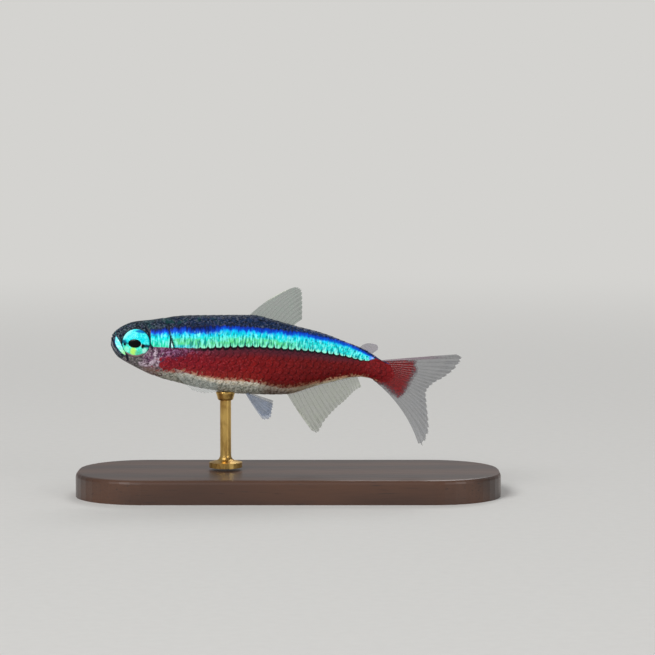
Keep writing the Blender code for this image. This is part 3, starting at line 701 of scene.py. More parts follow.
def crescent_place(station, height):
    """Places on the leaf-shaped mark before the eye: 0 to 1 along it, and -1 to 1 across it where inside."""
    lengths = np.linalg.norm(np.diff(CRESCENT, axis=0), axis=1)
    starts = np.concatenate([[0], np.cumsum(lengths)])
    nearest, along, across = np.full(len(station), np.inf), np.zeros(len(station)), np.zeros(len(station))
    for front, rear, length, start in zip(CRESCENT, CRESCENT[1:], lengths, starts):
        share, off_s, off_h = segment_offset(station, height, front, rear)
        distance = np.hypot(off_s, off_h)
        side = np.sign(off_h * (rear[0] - front[0]) - off_s * (rear[1] - front[1]))
        closer = distance < nearest
        nearest = np.where(closer, distance, nearest)
        along = np.where(closer, (start + share * length) / starts[-1], along)
        across = np.where(closer, distance * side, across)
    leaf = CRESCENT_HALF_WIDTH * np.sin(math.pi * np.clip(along, 0.03, 0.985) ** 0.75) ** 0.7
    return along, np.clip(across / leaf, -3, 3)


def set_sockets(points):
    """Sinks the skin under each eye and raises a low rim round it."""
    for sign in (-1, 1):
        eye = EyeFrame(sign)
        rear, up, lift = eye.local(points)
        reach = np.hypot(rear, up)
        here = (points[:, 1] * sign > 0) & (reach < 1.4)
        inside = np.where(here, 1 - ease(reach, 0.965, 1.02), 0)
        rim = np.where(here, ORBIT_RIM * ridge(reach - 1.09, 0.06), 0)
        points = points + np.outer(inside * (-SOCKET_DEPTH - lift) + rim, eye.out)
    return points


def body_skin():
    """One closed skin for head, gill covers, trunk and tail stalk, which lies under the coat of scales."""
    shape = bmesh.new()
    bmesh.ops.create_uvsphere(shape, u_segments=SKIN_SIDES, v_segments=SKIN_RINGS, radius=1)
    piece = add_object("tetra_skin", shape)
    mesh = piece.data
    x, y, z = read_points(mesh).T
    along = np.arccos(np.clip(z, -1, 1)) / math.pi
    around = np.arctan2(y, x)
    root = smooth_curve(RING_SPACING)(along)
    across, up = np.cos(around), np.sin(around)
    station = root**2 + SNOUT - CAUDAL_ROOT_CURVE * up**2 * ease(root**2, 0.94, BODY_END)
    share = 2 / roundness(station, up >= 0)
    pole = np.where(np.abs(z) > 1 - 1e-9, 0.0, 1.0)
    wide = pole * np.sign(across) * np.abs(across) ** share
    high = pole * np.sign(up) * np.abs(up) ** share
    width = wide * half_width(station) * tail_taper(station, up)
    points = straight(station, width, high * profile(station, up >= 0))
    write_points(mesh, points)
    point_out(mesh)
    normals = read_vectors(mesh.vertex_normals, "vector")

    station, _, height = (points / STANDARD_LENGTH).T
    behind = station - head_edge(-height)
    coat = -COAT * ease(behind, -0.001, 0.003) * (1 - ease(station, 0.97, 1.02))
    groove = -0.035 * MM * ridge(behind - 0.004, 0.004) * ease(0.10 - height, 0.0, 0.03)
    push, dark, jaw = mouth_relief(points)
    on_head = 1 - ease(behind, -0.004, 0.0)
    push = push + coat + groove + head_relief(station, height) * on_head
    for place, level, size in NOSTRILS:
        push = push - NOSTRIL_DEPTH * nostril(station, height, place, level, size)
    moved = set_sockets(points + normals * push[:, None])

    mark_body(mesh, points)
    # The dark lines take in the painted shade of the mouth's cleft.
    lines = np.maximum(dark, drawn(station, height, GILL_DARK + HEAD_DARK))
    for place, level, size in NOSTRILS:
        lines = np.maximum(lines, nostril(station, height, place, level, 1.3 * size))
    # The second values are painted highlights along the head's ridges and by the gill cover's edge.
    add_values(mesh, "lines", lines, drawn(station, height, GILL_HIGHLIGHTS + HEAD_HIGHLIGHTS), jaw)
    add_values(mesh, "crescent", *crescent_place(station, height), ease(0.075 - station, 0.0, 0.005))
    write_points(mesh, bend(moved) + PLACE)
    return finish_piece(
        piece, skin_paint("tetra skin", False), "fish_skin",
        "head", "gill_cover_left", "gill_cover_right", "trunk", "tail_stalk",
    )


# Scales


def root_row(shift, arc):
    """Stations and sizes of one row's roots. shift is 0 or half a column, and arc gives the row's places."""
    columns = np.arange(math.ceil(column_at(FIRST_SCALE)), column_at(SCALES_END)) + shift
    station = np.interp(columns, COLUMNS, COLUMN_STATIONS)
    size = scale_size(station)
    return np.stack([station, arc(station, size), size], axis=1)


def scale_tips(roots):
    """Where scales end, with the curve of the tail fin's root taken as part of their length."""
    station, arc, size = roots.T
    return station + SCALE_LENGTH * COLUMN_PITCH * size + root_curve(station, arc / arc_limit(station, arc))


def scale_roots():
    """Where scales are rooted on one flank, as (station, arc length, size) rows."""
    rows = []
    for row in range(-ROW_COUNT, ROW_COUNT + 1):
        rows.append(root_row((row % 2) / 2, lambda station, size: row * ROW_PITCH * size))
    roots = np.concatenate(rows)
    station, arc, size = roots.T
    room = arc_limit(station, arc) - np.abs(arc)
    return roots[(room > 0.35 * ROW_PITCH * size) & (scale_tips(roots) < SCALES_END)]


def edge_roots(upper, skipped):
    """Roots of the row along the ridge of the back or the edge of the belly, apart from under its fins."""
    side = 1.0 if upper else -1.0
    roots = root_row(0.25, lambda station, size: side * arc_limit(station, np.full(len(station), side)))
    tips = scale_tips(roots)
    kept = tips < SCALES_END
    for start, end in skipped:
        kept &= (roots[:, 0] + 0.01 > end) | (tips < start + 0.01)
    return roots[kept]


def behind_head(roots):
    """Keeps the roots that start no further forward than under the edge of the head."""
    _, height = on_flank(roots[:, 0], roots[:, 1])
    return roots[roots[:, 0] > head_edge(-height) - 0.7 * COLUMN_PITCH]


def scale_sheet(name, roots, sign, seed):
    """Overlapping scales as one mesh: copies of a small plate, each laid along the flank from its root."""
    template = add_object(f"{name}_plate", flat_slab(SCALE_CELLS, SCALE_CELLS))
    copies = template.modifiers.new("copies", "ARRAY")
    copies.count = len(roots)
    copies.use_relative_offset = False
    graph = bpy.context.evaluated_depsgraph_get()
    mesh = bpy.data.meshes.new_from_object(template.evaluated_get(graph))
    x, y, z = read_points(template.data).T
    bpy.data.objects.remove(template)

    random = np.random.default_rng(seed)
    count = len(roots)
    along, across = (x + 0.5)[None, :], (2 * y)[None, :]
    outer = (z > 0.5)[None, :]
    station, arc, size = (column[:, None] for column in roots.T)
    tilt = random.normal(0, SCALE_TILT, (count, 1))
    reach = SCALE_LENGTH * COLUMN_PITCH * size * random.normal(1, SCALE_VARIATION, (count, 1))
    half = SCALE_HALF_WIDTH * ROW_PITCH * size
    tip = along * (1 - SCALE_CORNERS * np.abs(across) ** 2.2)
    place = station + reach * (tip + tilt * across * along)
    swing = arc + half * across * (0.86 + 0.14 * np.sin(math.pi * np.clip(along, 0, 1)))

    def surface(at, over):
        width, height = on_flank(at, over)
        return straight(at, sign * width, height)

    step = 0.002
    run = surface(place + step, swing) - surface(place - step, swing)
    rise = surface(place, swing + step) - surface(place, swing - step)
    normal = np.cross(run, rise) * -sign
    normal /= np.linalg.norm(normal, axis=2, keepdims=True)
    lift = -COAT * 1.15 + COAT * 1.15 * tip - 0.25 * SCALE_THICKNESS * across**2
    lift = lift * (1 - 0.8 * ease(place, 0.96, 1.01)) - np.where(outer, 0.0, SCALE_THICKNESS)
    points = (surface(place, swing) + normal * lift[:, :, None]).reshape(-1, 3)

    def spread(values):
        return np.broadcast_to(values, place.shape).ravel()

    mark_body(mesh, points)
    add_values(mesh, "scale", spread(across), spread(along), spread(random.random((count, 1))))
    at, _, up = (points / STANDARD_LENGTH).T
    # The second values are painted highlights by the gill cover's edge.
    add_values(mesh, "lines", drawn(at, up, GILL_DARK), drawn(at, up, GILL_HIGHLIGHTS))
    write_points(mesh, bend(points) + PLACE)
    point_out(mesh)

    middle = 0.25 if sign < 0 else 0.75
    patch_u = (station + (along - 0.5) * UV_PATCH) * UV_ALONG
    patch_v = middle + UV_ACROSS * arc / UV_FLANK + across * UV_PATCH / 2
    patch_v = patch_v + np.where(outer, 0.0, 1.2 * UV_PATCH)
    uv = np.stack([spread(patch_u), spread(patch_v)], axis=1)
    corners = np.empty(len(mesh.loops), np.int32)
    mesh.loops.foreach_get("vertex_index", corners)
    layer = mesh.uv_layers.new(name="OFBake")
    layer.data.foreach_set("uv", np.ascontiguousarray(uv[corners], np.float32).ravel())
    return add_object(name, mesh)


def coat_of_scales():
    """The scales of both flanks, each in a front and a rear piece, with the edge rows on the left ones."""
    middle = 0.52
    edges = np.concatenate([
        edge_roots(True, [DORSAL_ROOT, ADIPOSE_ROOT]),
        edge_roots(False, [(0.47, 0.55), ANAL_ROOT]),
    ])
    paint = skin_paint("tetra scales", True)
    for side, sign in (("left", -1), ("right", 1)):
        roots = behind_head(np.concatenate([scale_roots(), edges]) if sign < 0 else scale_roots())
        for part, chosen in (("front", roots[:, 0] < middle), ("rear", roots[:, 0] >= middle)):
            name = f"scales_{side}_{part}"
            piece = scale_sheet(name, roots[chosen], sign, 10 + sign + len(part))
            finish_piece(piece, paint, "fish_skin")


# Fins


def ray_ridge(rays, u, v):
    """1 on a fin's rays and 0 between them: each ray but the first forks twice on its way to the rim."""
    number = np.clip(np.floor(u * rays), 0, rays - 1)
    off = u * rays - number - 0.5
    forked = np.where(number < 1, 0.0, 1.0)
    first = FORK_SPREAD * forked * ease(v, *FORK_SPAN)
    second = SECOND_FORK_SPREAD * forked * ease(v, *SECOND_FORK_SPAN)
    away = np.abs(np.abs(np.abs(off) - first) - second)
    return ridge(away, RAY_WIDTH - RAY_TAPER * ease(v, 0.1, 1.0))


def fin_piece(name, node, rays, rows, place, tone, marks=None):
    """A fin from place(u, v), which gives arrays of straight points and of the directions across the fin.

    It stands for a node of the solids. marks(u, v, places) gives values for its paint.
    """
    kept = {}

    def rays_at(u, v):
        return ray_ridge(rays, u, v) if rays else np.zeros_like(u)

    def both_sides(u, v, side):
        notch = 1 - RIM_NOTCH * ease(v, *RIM_SPAN) * (1 - rays_at(u, np.ones_like(u)))
        points, out = place(u, v * notch)
        kept.update(u=u, v=v, middle=points)
        half = MEMBRANE / 2 * (1.3 - 0.6 * v) + RAY_HALF_THICKNESS * rays_at(u, v) * (1.15 - 0.85 * v)
        return points + out * (side * half)[:, None]

    mesh = shaped_slab(max(RAY_COLUMNS * rays, 30), rows, both_sides)
    u, v = kept["u"], kept["v"]
    mark_body(mesh, kept["middle"])
    add_values(mesh, "fin", u * rays, v, rays_at(u, v))
    if marks:
        add_values(mesh, "marks", *marks(u, v, kept["middle"] / STANDARD_LENGTH))
    write_points(mesh, bend(read_points(mesh)) + PLACE)
    piece = add_object(name, mesh)
    return finish_piece(piece, fin_paint(name.replace("_", " "), tone), "fin_membrane", node)


def flat_fin(root, rim, bow, lean):
    """place() of a fin in the fish's middle plane, from lines of its root and rim. bow(u) bows each ray."""

    def place(u, v):
        start, end = np.stack(root(u), axis=1), np.stack(rim(u), axis=1)
        run = end - start
        sink = FIN_SINK / STANDARD_LENGTH / np.linalg.norm(run, axis=1)
        reach = v * (1 + sink) - sink
        bowed = bow(u) * 4 * np.maximum(reach, 0) * (1 - reach)
        flat = start + run * reach[:, None] + np.stack([-run[:, 1], run[:, 0]], axis=1) * bowed[:, None]
        points = straight(flat[:, 0], lean(u, np.maximum(reach, 0)), flat[:, 1])
        return points, np.tile((0.0, 1.0, 0.0), (len(u), 1))

    return place


def rim_line(points):
    """A function along a fin's rim, from (share of the root, station, height) points."""
    station = smooth_curve([(share, place) for share, place, _ in points])
    height = smooth_curve([(share, up) for share, _, up in points])
    return lambda share: (station(share), height(share))


def edge_root(span, upper):
    """A function along a fin's root on the back or the belly."""

    def root(u):
        station = span[0] + (span[1] - span[0]) * u
        return station, np.where(upper, 1, -1) * profile(station, np.full(np.shape(u), upper))

    return root


def still(u, v):
    """The sideways lean of a fin that stays in the middle plane, for flat_fin()."""
    return np.zeros_like(u)


def anal_sway(u, v):
    return ANAL_SWAY * v * v


def caudal_root(u):
    share = 2 * u - 1
    return 1.0 - CAUDAL_ROOT_CURVE * share * share, CAUDAL_ROOT_HEIGHT * share


def caudal_cup(u, v):
    """The sideways lean of the tail fin, whose upper lobe leans less than its lower one."""
    lobe = np.where(u < 0.5, 1.0, UPPER_LOBE_CUP)
    return -CAUDAL_CUP * lobe * np.abs(2 * u - 1) ** 1.5 * v * v


def paired_fin(sign, root, end_rays, lengths, curl):
    """place() of a fin on one flank, from the ends of its root, its end rays' directions and its lengths."""
    mirror = np.array([1.0, sign, 1.0])
    front, rear = (np.array(ray) * mirror for ray in end_rays)
    length = smooth_curve(lengths)
    across = (root[1] - root[0]) / np.linalg.norm(root[1] - root[0])

    def place(u, v):
        ray = front + (rear - front) * u[:, None]
        ray /= np.linalg.norm(ray, axis=1, keepdims=True)
        full = length(u) * STANDARD_LENGTH
        reach = v * (full + FIN_SINK * 1.6) - FIN_SINK * 1.6
        face = np.cross(across, ray)
        face /= np.linalg.norm(face, axis=1, keepdims=True)
        curled = np.array(curl) * mirror * (np.maximum(reach, 0) * v)[:, None]
        return root[0] + (root[1] - root[0]) * u[:, None] + ray * reach[:, None] + curled, face

    return place


def pelvic_fin(sign):
    root = [straight(station, sign * aside, height) for station, aside, height in PELVIC_ROOT]
    return paired_fin(sign, root, PELVIC_END_RAYS, PELVIC_LENGTHS, PELVIC_CURL)


def pectoral_fin(sign):
    root = [straight(at, sign * (flank(at, height) + PECTORAL_OUT), height) for at, height in PECTORAL_ROOT]
    return paired_fin(sign, root, PECTORAL_END_RAYS, PECTORAL_LENGTHS, PECTORAL_CURL)


def tail_marks(u, v, places):
    """How far inside the red of the tail fin a place is, and the pale line along the fin's upper edge."""
    station, _, height = places.T
    inside = np.minimum(tail_red_top(station) - height, height - tail_red_bottom(station))
    inside = np.minimum(inside, tail_red_end(height) - station)
    return inside, ease(u, 0.955, 0.975) * (1 - ease(v, 0.55, 0.9))


def leading_edge_highlight(u, v, places):
    """A painted highlight: the pale streak on the outer part of a fin's leading edge."""
    return 0.0, (1 - ease(u, 0.035, 0.075)) * ease(v, 0.35, 0.60) * (1 - ease(v, 0.93, 1.0))


def fins():
    dorsal = flat_fin(edge_root(DORSAL_ROOT, True), rim_line(DORSAL_RIM), lambda u: DORSAL_BOW, still)
    fin_piece("dorsal_fin", "fin_dorsal", DORSAL_RAYS, 50, dorsal, "back", leading_edge_highlight)
    anal = flat_fin(edge_root(ANAL_ROOT, False), rim_line(ANAL_RIM), lambda u: ANAL_BOW, anal_sway)
    fin_piece("anal_fin", "fin_anal", ANAL_RAYS, 44, anal, "belly", leading_edge_highlight)
    root = edge_root(ADIPOSE_ROOT, True)
    adipose = flat_fin(root, rim_line(ADIPOSE_RIM), lambda u: ADIPOSE_BOW * (1 - u), still)
    fin_piece("adipose_fin", "fin_adipose", 0, 20, adipose, "adipose")
    rim = rim_line(CAUDAL_RIM)
    tail = flat_fin(caudal_root, lambda u: rim(2 * u - 1), lambda u: CAUDAL_BOW * (1 - u) ** 2, caudal_cup)
    fin_piece("tail_fin", "fin_caudal", CAUDAL_RAYS, 60, tail, "tail", tail_marks)
    for side, sign in (("left", -1), ("right", 1)):
        fin_piece(f"pelvic_fin_{side}", f"fin_pelvic_{side}", PELVIC_RAYS, 36, pelvic_fin(sign), "pelvic")
        pectoral = pectoral_fin(sign)
        fin_piece(f"pectoral_fin_{side}", f"fin_pectoral_{side}", PECTORAL_RAYS, 44, pectoral, "pectoral")


# Paint


def color(red, green, blue):
    """A linear colour from a screen's 0 to 255 values."""
    shares = (part / 255 for part in (red, green, blue))
    linear = [((share + 0.055) / 1.055) ** 2.4 if share > 10 / 255 else share / 12.92 for share in shares]
    return (*linear, 1.0)


class Value:
    """A shader's socket, on which Python's arithmetic adds Math nodes."""

    def __init__(self, paint, socket):
        self.paint = paint
        self.socket = socket

    def math(self, operation, *values):
        return self.paint.node("ShaderNodeMath", {"operation": operation}, dict(enumerate(values)))

    def __add__(self, other):
        return self.math("ADD", self, other)

    def __sub__(self, other):
        return self.math("SUBTRACT", self, other)

    def __rsub__(self, other):
        return self.math("SUBTRACT", other, self)

    def __mul__(self, other):
        return self.math("MULTIPLY", self, other)

    def __truediv__(self, other):
        return self.math("DIVIDE", self, other)

    def __pow__(self, other):
        return self.math("POWER", self, other)

    def __abs__(self):
        return self.math("ABSOLUTE", self)

    __radd__, __rmul__ = __add__, __mul__

    def largest(self, other):
        return self.math("MAXIMUM", self, other)

    def smallest(self, other):
        return self.math("MINIMUM", self, other)

    def sine(self):
        return self.math("SINE", self)

    def part(self):
        """The part after the decimal point."""
        return self.math("FRACT", self)

    def step(self, start, end):
        """0 at start and 1 at end, smooth between; start may be the larger."""
        sockets = {0: self, 1: start, 2: end}
        return self.paint.node("ShaderNodeMapRange", {"interpolation_type": "SMOOTHSTEP"}, sockets)

    def band(self, start, end, soft):
        """1 between start and end, with soft edges."""
        return self.step(start - soft, start + soft) * self.step(end + soft, end - soft)


class Paint:
    """A material and the nodes added to it. Its colours are Values, or a screen's values from 0 to 255."""

    def __init__(self, name, **constants):
        self.material = bpy.data.materials.new(name)
        self.material.use_nodes = True
        self.tree = self.material.node_tree
        self.shader = self.tree.nodes["Principled BSDF"]
        for socket, value in constants.items():
            self.shader.inputs[socket.replace("_", " ")].default_value = value

    def node(self, kind, settings=None, sockets=None, output=0):
        """Adds a node, makes its settings, fills its sockets and returns one output."""
        made = self.tree.nodes.new(kind)
        for name, value in (settings or {}).items():
            if name == "stops":
                set_stops(made.color_ramp, value)
            else:
                setattr(made, name, value)
        for name, value in (sockets or {}).items():
            if isinstance(value, Value):
                self.tree.links.new(value.socket, made.inputs[name])
            else:
                made.inputs[name].default_value = value
        return Value(self, made.outputs[output])

    def feed(self, **links):
        """Links Values to the shader's sockets, which are named with _ for each space."""
        for socket, value in links.items():
            self.tree.links.new(value.socket, self.shader.inputs[socket.replace("_", " ")])

    def attribute(self, name):
        return self.split(self.node("ShaderNodeAttribute", {"attribute_name": name}, output=1))

    def split(self, vector):
        parts = self.node("ShaderNodeSeparateXYZ", None, {0: vector}).socket.node.outputs
        return [Value(self, socket) for socket in parts]

    def place(self):
        return self.node("ShaderNodeTexCoord", output=3)

    def noise(self, x, y, z, detail, roughness=0.5):
        """Noise whose grains are about 1 across in the three values that it is given."""
        vector = self.node("ShaderNodeCombineXYZ", None, {0: x, 1: y, 2: z})
        sockets = {"Vector": vector, "Scale": 1.0, "Detail": detail, "Roughness": roughness}
        return self.node("ShaderNodeTexNoise", None, sockets)

    def ramp(self, value, stops):
        return self.node("ShaderNodeValToRGB", {"stops": stops}, {0: value})

    def mix(self, share, first, second):
        """The first colour where share is 0, the second where it is 1, and blends between."""
        tones = {6: first, 7: second}
        sockets = {index: tone if isinstance(tone, Value) else color(*tone) for index, tone in tones.items()}
        settings = {"data_type": "RGBA", "clamp_factor": True}
        return self.node("ShaderNodeMix", settings, {0: share, **sockets}, output=2)

    def over(self, tone, *layers):
        """Lays layers over a tone, one after another, each as (share, colour)."""
        for share, shade in layers:
            tone = self.mix(share, tone, shade)
        return tone

    def bump(self, height, strength, distance):
        sockets = {"Strength": strength, "Distance": distance, "Height": height}
        return self.node("ShaderNodeBump", None, sockets)


def set_stops(ramp, stops):
    ramp.elements.remove(ramp.elements[1])
    ramp.elements[0].position, ramp.elements[0].color = stops[0]
    for position, tone in stops[1:]:
        ramp.elements.new(position).color = tone


# The stripe's colours from its lower edge, 0, to its upper edge, 1
STRIPE_REACH = (-0.1, 1.1)
STRIPE_TONES = [
    (-0.10, (0, 8, 16)), (0.00, (72, 232, 190)), (0.10, (40, 222, 172)), (0.28, (26, 212, 184)),
    (0.48, (8, 230, 222)), (0.62, (0, 216, 244)), (0.71, (0, 178, 246)), (0.79, (0, 92, 214)),
    (0.88, (0, 58, 186)), (0.96, (0, 40, 140)), (1.03, (2, 26, 86)), (1.10, (10, 24, 52)),
]


class SkinPaint(Paint):
    """The fish's markings, alike on the skin and on the scales. Noises are named by what they look like."""

    def __init__(self, name):
        # The emission gives the stripe and the crescent before the eye a painted glow.
        super().__init__(
            name, Coat_Roughness=0.22, Coat_Weight=0.04, Emission_Strength=0.18, Specular_IOR_Level=0.16,
        )
        self.station, self.aside, self.height = self.attribute("body")
        self.share, self.over_red, self.level = self.attribute("bands")
        self.column = self.attribute("columns")[0]
        self.soft = self.body_noise(26, 2.0)
        self.blotch = self.body_noise(78, 2.0, 3.1)
        self.mottle = self.body_noise(118, 2.0)
        self.fleck = self.body_noise(150, 1.0, 7.3)
        self.fine = self.body_noise(420, 2.0)
        side = self.aside.step(-0.001, 0.001) * 9
        self.streak = self.noise(self.column * 2.3, self.share * 1.7, side, 2.0, 0.6)
        self.stroke = self.noise(self.column * 4.4, self.share * 2.2, side + 4, 1.0)

    def body_noise(self, scale, detail, shift=0.0):
        """Noise whose grains are about 1 / scale of the standard length."""
        along = self.station * scale + shift
        return self.noise(along, self.height * scale, self.aside * scale, detail, 0.55)

    def back(self):
        """Dark slate, bluer towards the tail, with flecks of violet, green and black."""
        return self.over(
            self.mix(self.station.step(0.06, 0.40), (10, 30, 42), (14, 40, 76)),
            (self.station.step(0.58, 0.82), (0, 52, 116)),
            (self.level.step(0.90, 1.02) * 0.45, (30, 46, 42)),
            (self.mottle.step(0.50, 0.42) * 0.75, (0, 4, 16)),
            (self.soft.step(0.52, 0.66) * self.station.step(0.45, 0.25) * 0.5, (12, 78, 70)),
            (self.fleck.step(0.52, 0.60) * self.station.step(0.85, 0.50) * 0.38, (88, 92, 126)),
            (self.blotch.step(0.56, 0.64) * self.fleck.step(0.46, 0.56) * 0.32, (120, 130, 144)),
        )

    def snout(self):
        """Dark slate skin of the snout and crown, flecked with green and grey."""
        return self.over(
            self.mix(self.mottle.step(0.40, 0.58), (2, 14, 24), (26, 44, 58)),
            (self.soft.step(0.50, 0.62) * 0.5, (4, 62, 70)),
            (self.blotch.step(0.54, 0.64) * 0.45, (74, 70, 98)),
            (self.fleck.step(0.53, 0.61) * 0.5, (112, 126, 132)),
        )

    def red(self):
        """Deep red in fine grains, darkest behind the middle, with an orange lower edge in front."""
        low = self.over_red.step(0.040, 0.004) * self.station.step(0.62, 0.40)
        maze = self.mottle.step(0.52, 0.36) * (self.station.step(0.42, 0.20) * 0.35 + 0.45)
        front = self.station.step(0.62, 0.24) * 0.35 + 0.18
        return self.over(
            self.mix(self.soft.step(0.35, 0.65), (126, 8, 14), (142, 16, 18)),
            (self.station.step(0.45, 0.75), (112, 10, 10)),
            (self.station.step(0.86, 0.96), (126, 16, 20)),
            (low * 0.5, (168, 52, 34)),
            (maze, (70, 0, 12)),
            (self.fleck.step(0.54, 0.68) * front, (196, 76, 82)),
            (self.fine.step(0.5, 0.3) * 0.35, (54, 0, 6)),
            (self.station.step(0.50, 0.20) * 0.35, (138, 18, 52)),
        )

    def dusk(self, tone):
        """The mauve, and further back dusky, upper edge of the red under the stripe, and its brown keel."""
        mauve = self.over(
            self.mix(self.blotch.step(0.40, 0.62), (76, 34, 66), (146, 104, 144)),
            (self.mottle.step(0.48, 0.36) * 0.7, (48, 12, 36)),
            (self.fleck.step(0.56, 0.68) * 0.5, (190, 160, 196)),
        )
        drop = self.station.step(0.15, 0.33) * 0.032 + (self.blotch - 0.5) * 0.075
        below = (self.height - drop).step(-0.048, -0.022) * self.station.step(0.42, 0.22)
        shade = self.share.step(-0.66, -0.14) * self.station.step(0.26, 0.42) * self.station.step(0.94, 0.80)
        rear = self.station.step(0.52, 0.58) * self.station.step(0.80, 0.70)
        keel = self.over_red.step(0.022, 0.002) * rear
        return self.over(
            tone, (below * 0.85, mauve), (shade * 0.66, (58, 36, 52)), (keel * 0.6, (84, 28, 14)),
        )

    def belly(self):
        """Pale below: a cream band under the red, painted lighter than it is against the shade where the
        belly faces down, and greyer, fine-grained skin towards the keel.
        """
        edge = (self.over_red + (self.blotch - 0.5) * 0.016).step(-0.026, -0.012)
        band = edge * self.station.step(0.21, 0.27)
        warm = self.over_red.step(-0.010, -0.001) * self.station.step(0.19, 0.23)
        return self.over(
            self.mix(self.mottle.step(0.38, 0.62), (130, 134, 122), (192, 192, 180)),
            # The cream band is a real marking, painted near white to make up for the shade on the
            # down-facing belly: partly painted light.
            (band * 0.95, self.mix(self.fleck.step(0.36, 0.60), (220, 206, 178), (255, 248, 230))),
            (self.mottle.step(0.46, 0.36) * 0.35, (100, 102, 86)),
            (self.fleck.step(0.52, 0.62) * 0.5, (232, 230, 220)),
            (self.station.step(0.62, 0.70) * 0.6, (250, 236, 196)),
            (warm * 0.7, (196, 104, 60)),
        )

    def cheek(self, pale):
        """Grey, pink and violet skin over the bones under the eye, with painted highlights along its ridges.
        """
        high = (self.height + (self.blotch - 0.5) * 0.03).step(-0.085, -0.050)
        strokes = self.blotch.step(0.36, 0.50) * (self.fleck.step(0.38, 0.54) * 0.5 + 0.5)
        return self.over(
            self.mix(high, (136, 112, 98), (104, 66, 94)),
            (self.station.step(0.125, 0.095) * 0.85, (88, 92, 86)),
            (self.blotch.step(0.50, 0.38) * 0.7, (50, 30, 46)),
            (self.mottle.step(0.54, 0.62) * 0.4, (166, 150, 162)),
            (self.fleck.step(0.55, 0.63) * 0.42, (198, 186, 190)),
            # Painted highlights on the ridges of the cheek.
            (pale.step(0.15, 0.80) * strokes * 0.9, (212, 194, 208)),
        )

    def stripe(self, tooth):
        """The stripe: a ragged deep blue top, streaks of blue-green and lime, sparkles of painted highlight,
        and bright teeth below.
        """
        ragged = self.share + (self.streak - 0.5) * 0.55 * self.share.step(0.35, 0.85)
        patch = self.station.band(0.285, 0.385, 0.03) * (self.soft - 0.30) * 0.45
        front = self.station.step(0.42, 0.28) * 0.11 - 0.08
        low, high = STRIPE_REACH
        place = (ragged + (patch + front) * self.share.step(0.45, 0.75)).largest(0.0)
        stops = [((stop - low) / (high - low), color(*shade)) for stop, shade in STRIPE_TONES]
        rear = self.station.step(0.60, 0.72)
        middle = self.station.step(0.19, 0.23) * self.station.step(0.74, 0.60)
        lime = self.soft.step(0.30, 0.50) * (self.stroke * 0.8 + 0.4).smallest(1.0)
        foot = self.share.step(0.22, 0.08) * self.station.band(0.215, 0.300, 0.02)
        net = self.blotch.step(0.46, 0.36) * self.share.step(0.85, 0.65) * rear
        tip = self.share.step(0.24, 0.04) * (1 - tooth * 0.7) * self.stroke.step(0.30, 0.50)
        return self.over(
            self.ramp((place - low) / (high - low), stops),
            (rear * self.share.band(0.80, 0.96, 0.06) * 0.6, (0, 84, 206)),
            (rear * self.share.step(0.55, 0.35) * 0.8, (10, 222, 226)),
            (lime * self.share.band(0.16, 0.48, 0.10) * middle * 0.7, (120, 220, 90)),
            (foot * 0.7, (0, 182, 224)),
            # Painted highlights: bright sparkles over the stripe below its blue top.
            (self.stroke.step(0.53, 0.66) * self.share.step(0.86, 0.62) * 0.7, (150, 255, 246)),
            (self.stroke.step(0.48, 0.36) * self.share.step(0.82, 0.60) * 0.75, (0, 112, 122)),
            (self.blotch.step(0.52, 0.62) * self.share.band(0.30, 0.70, 0.12) * 0.5, (120, 255, 255)),
            (net * 0.5, (0, 120, 150)),
            (tip * self.station.step(0.24, 0.32) * 0.8, (176, 255, 214)),
        )


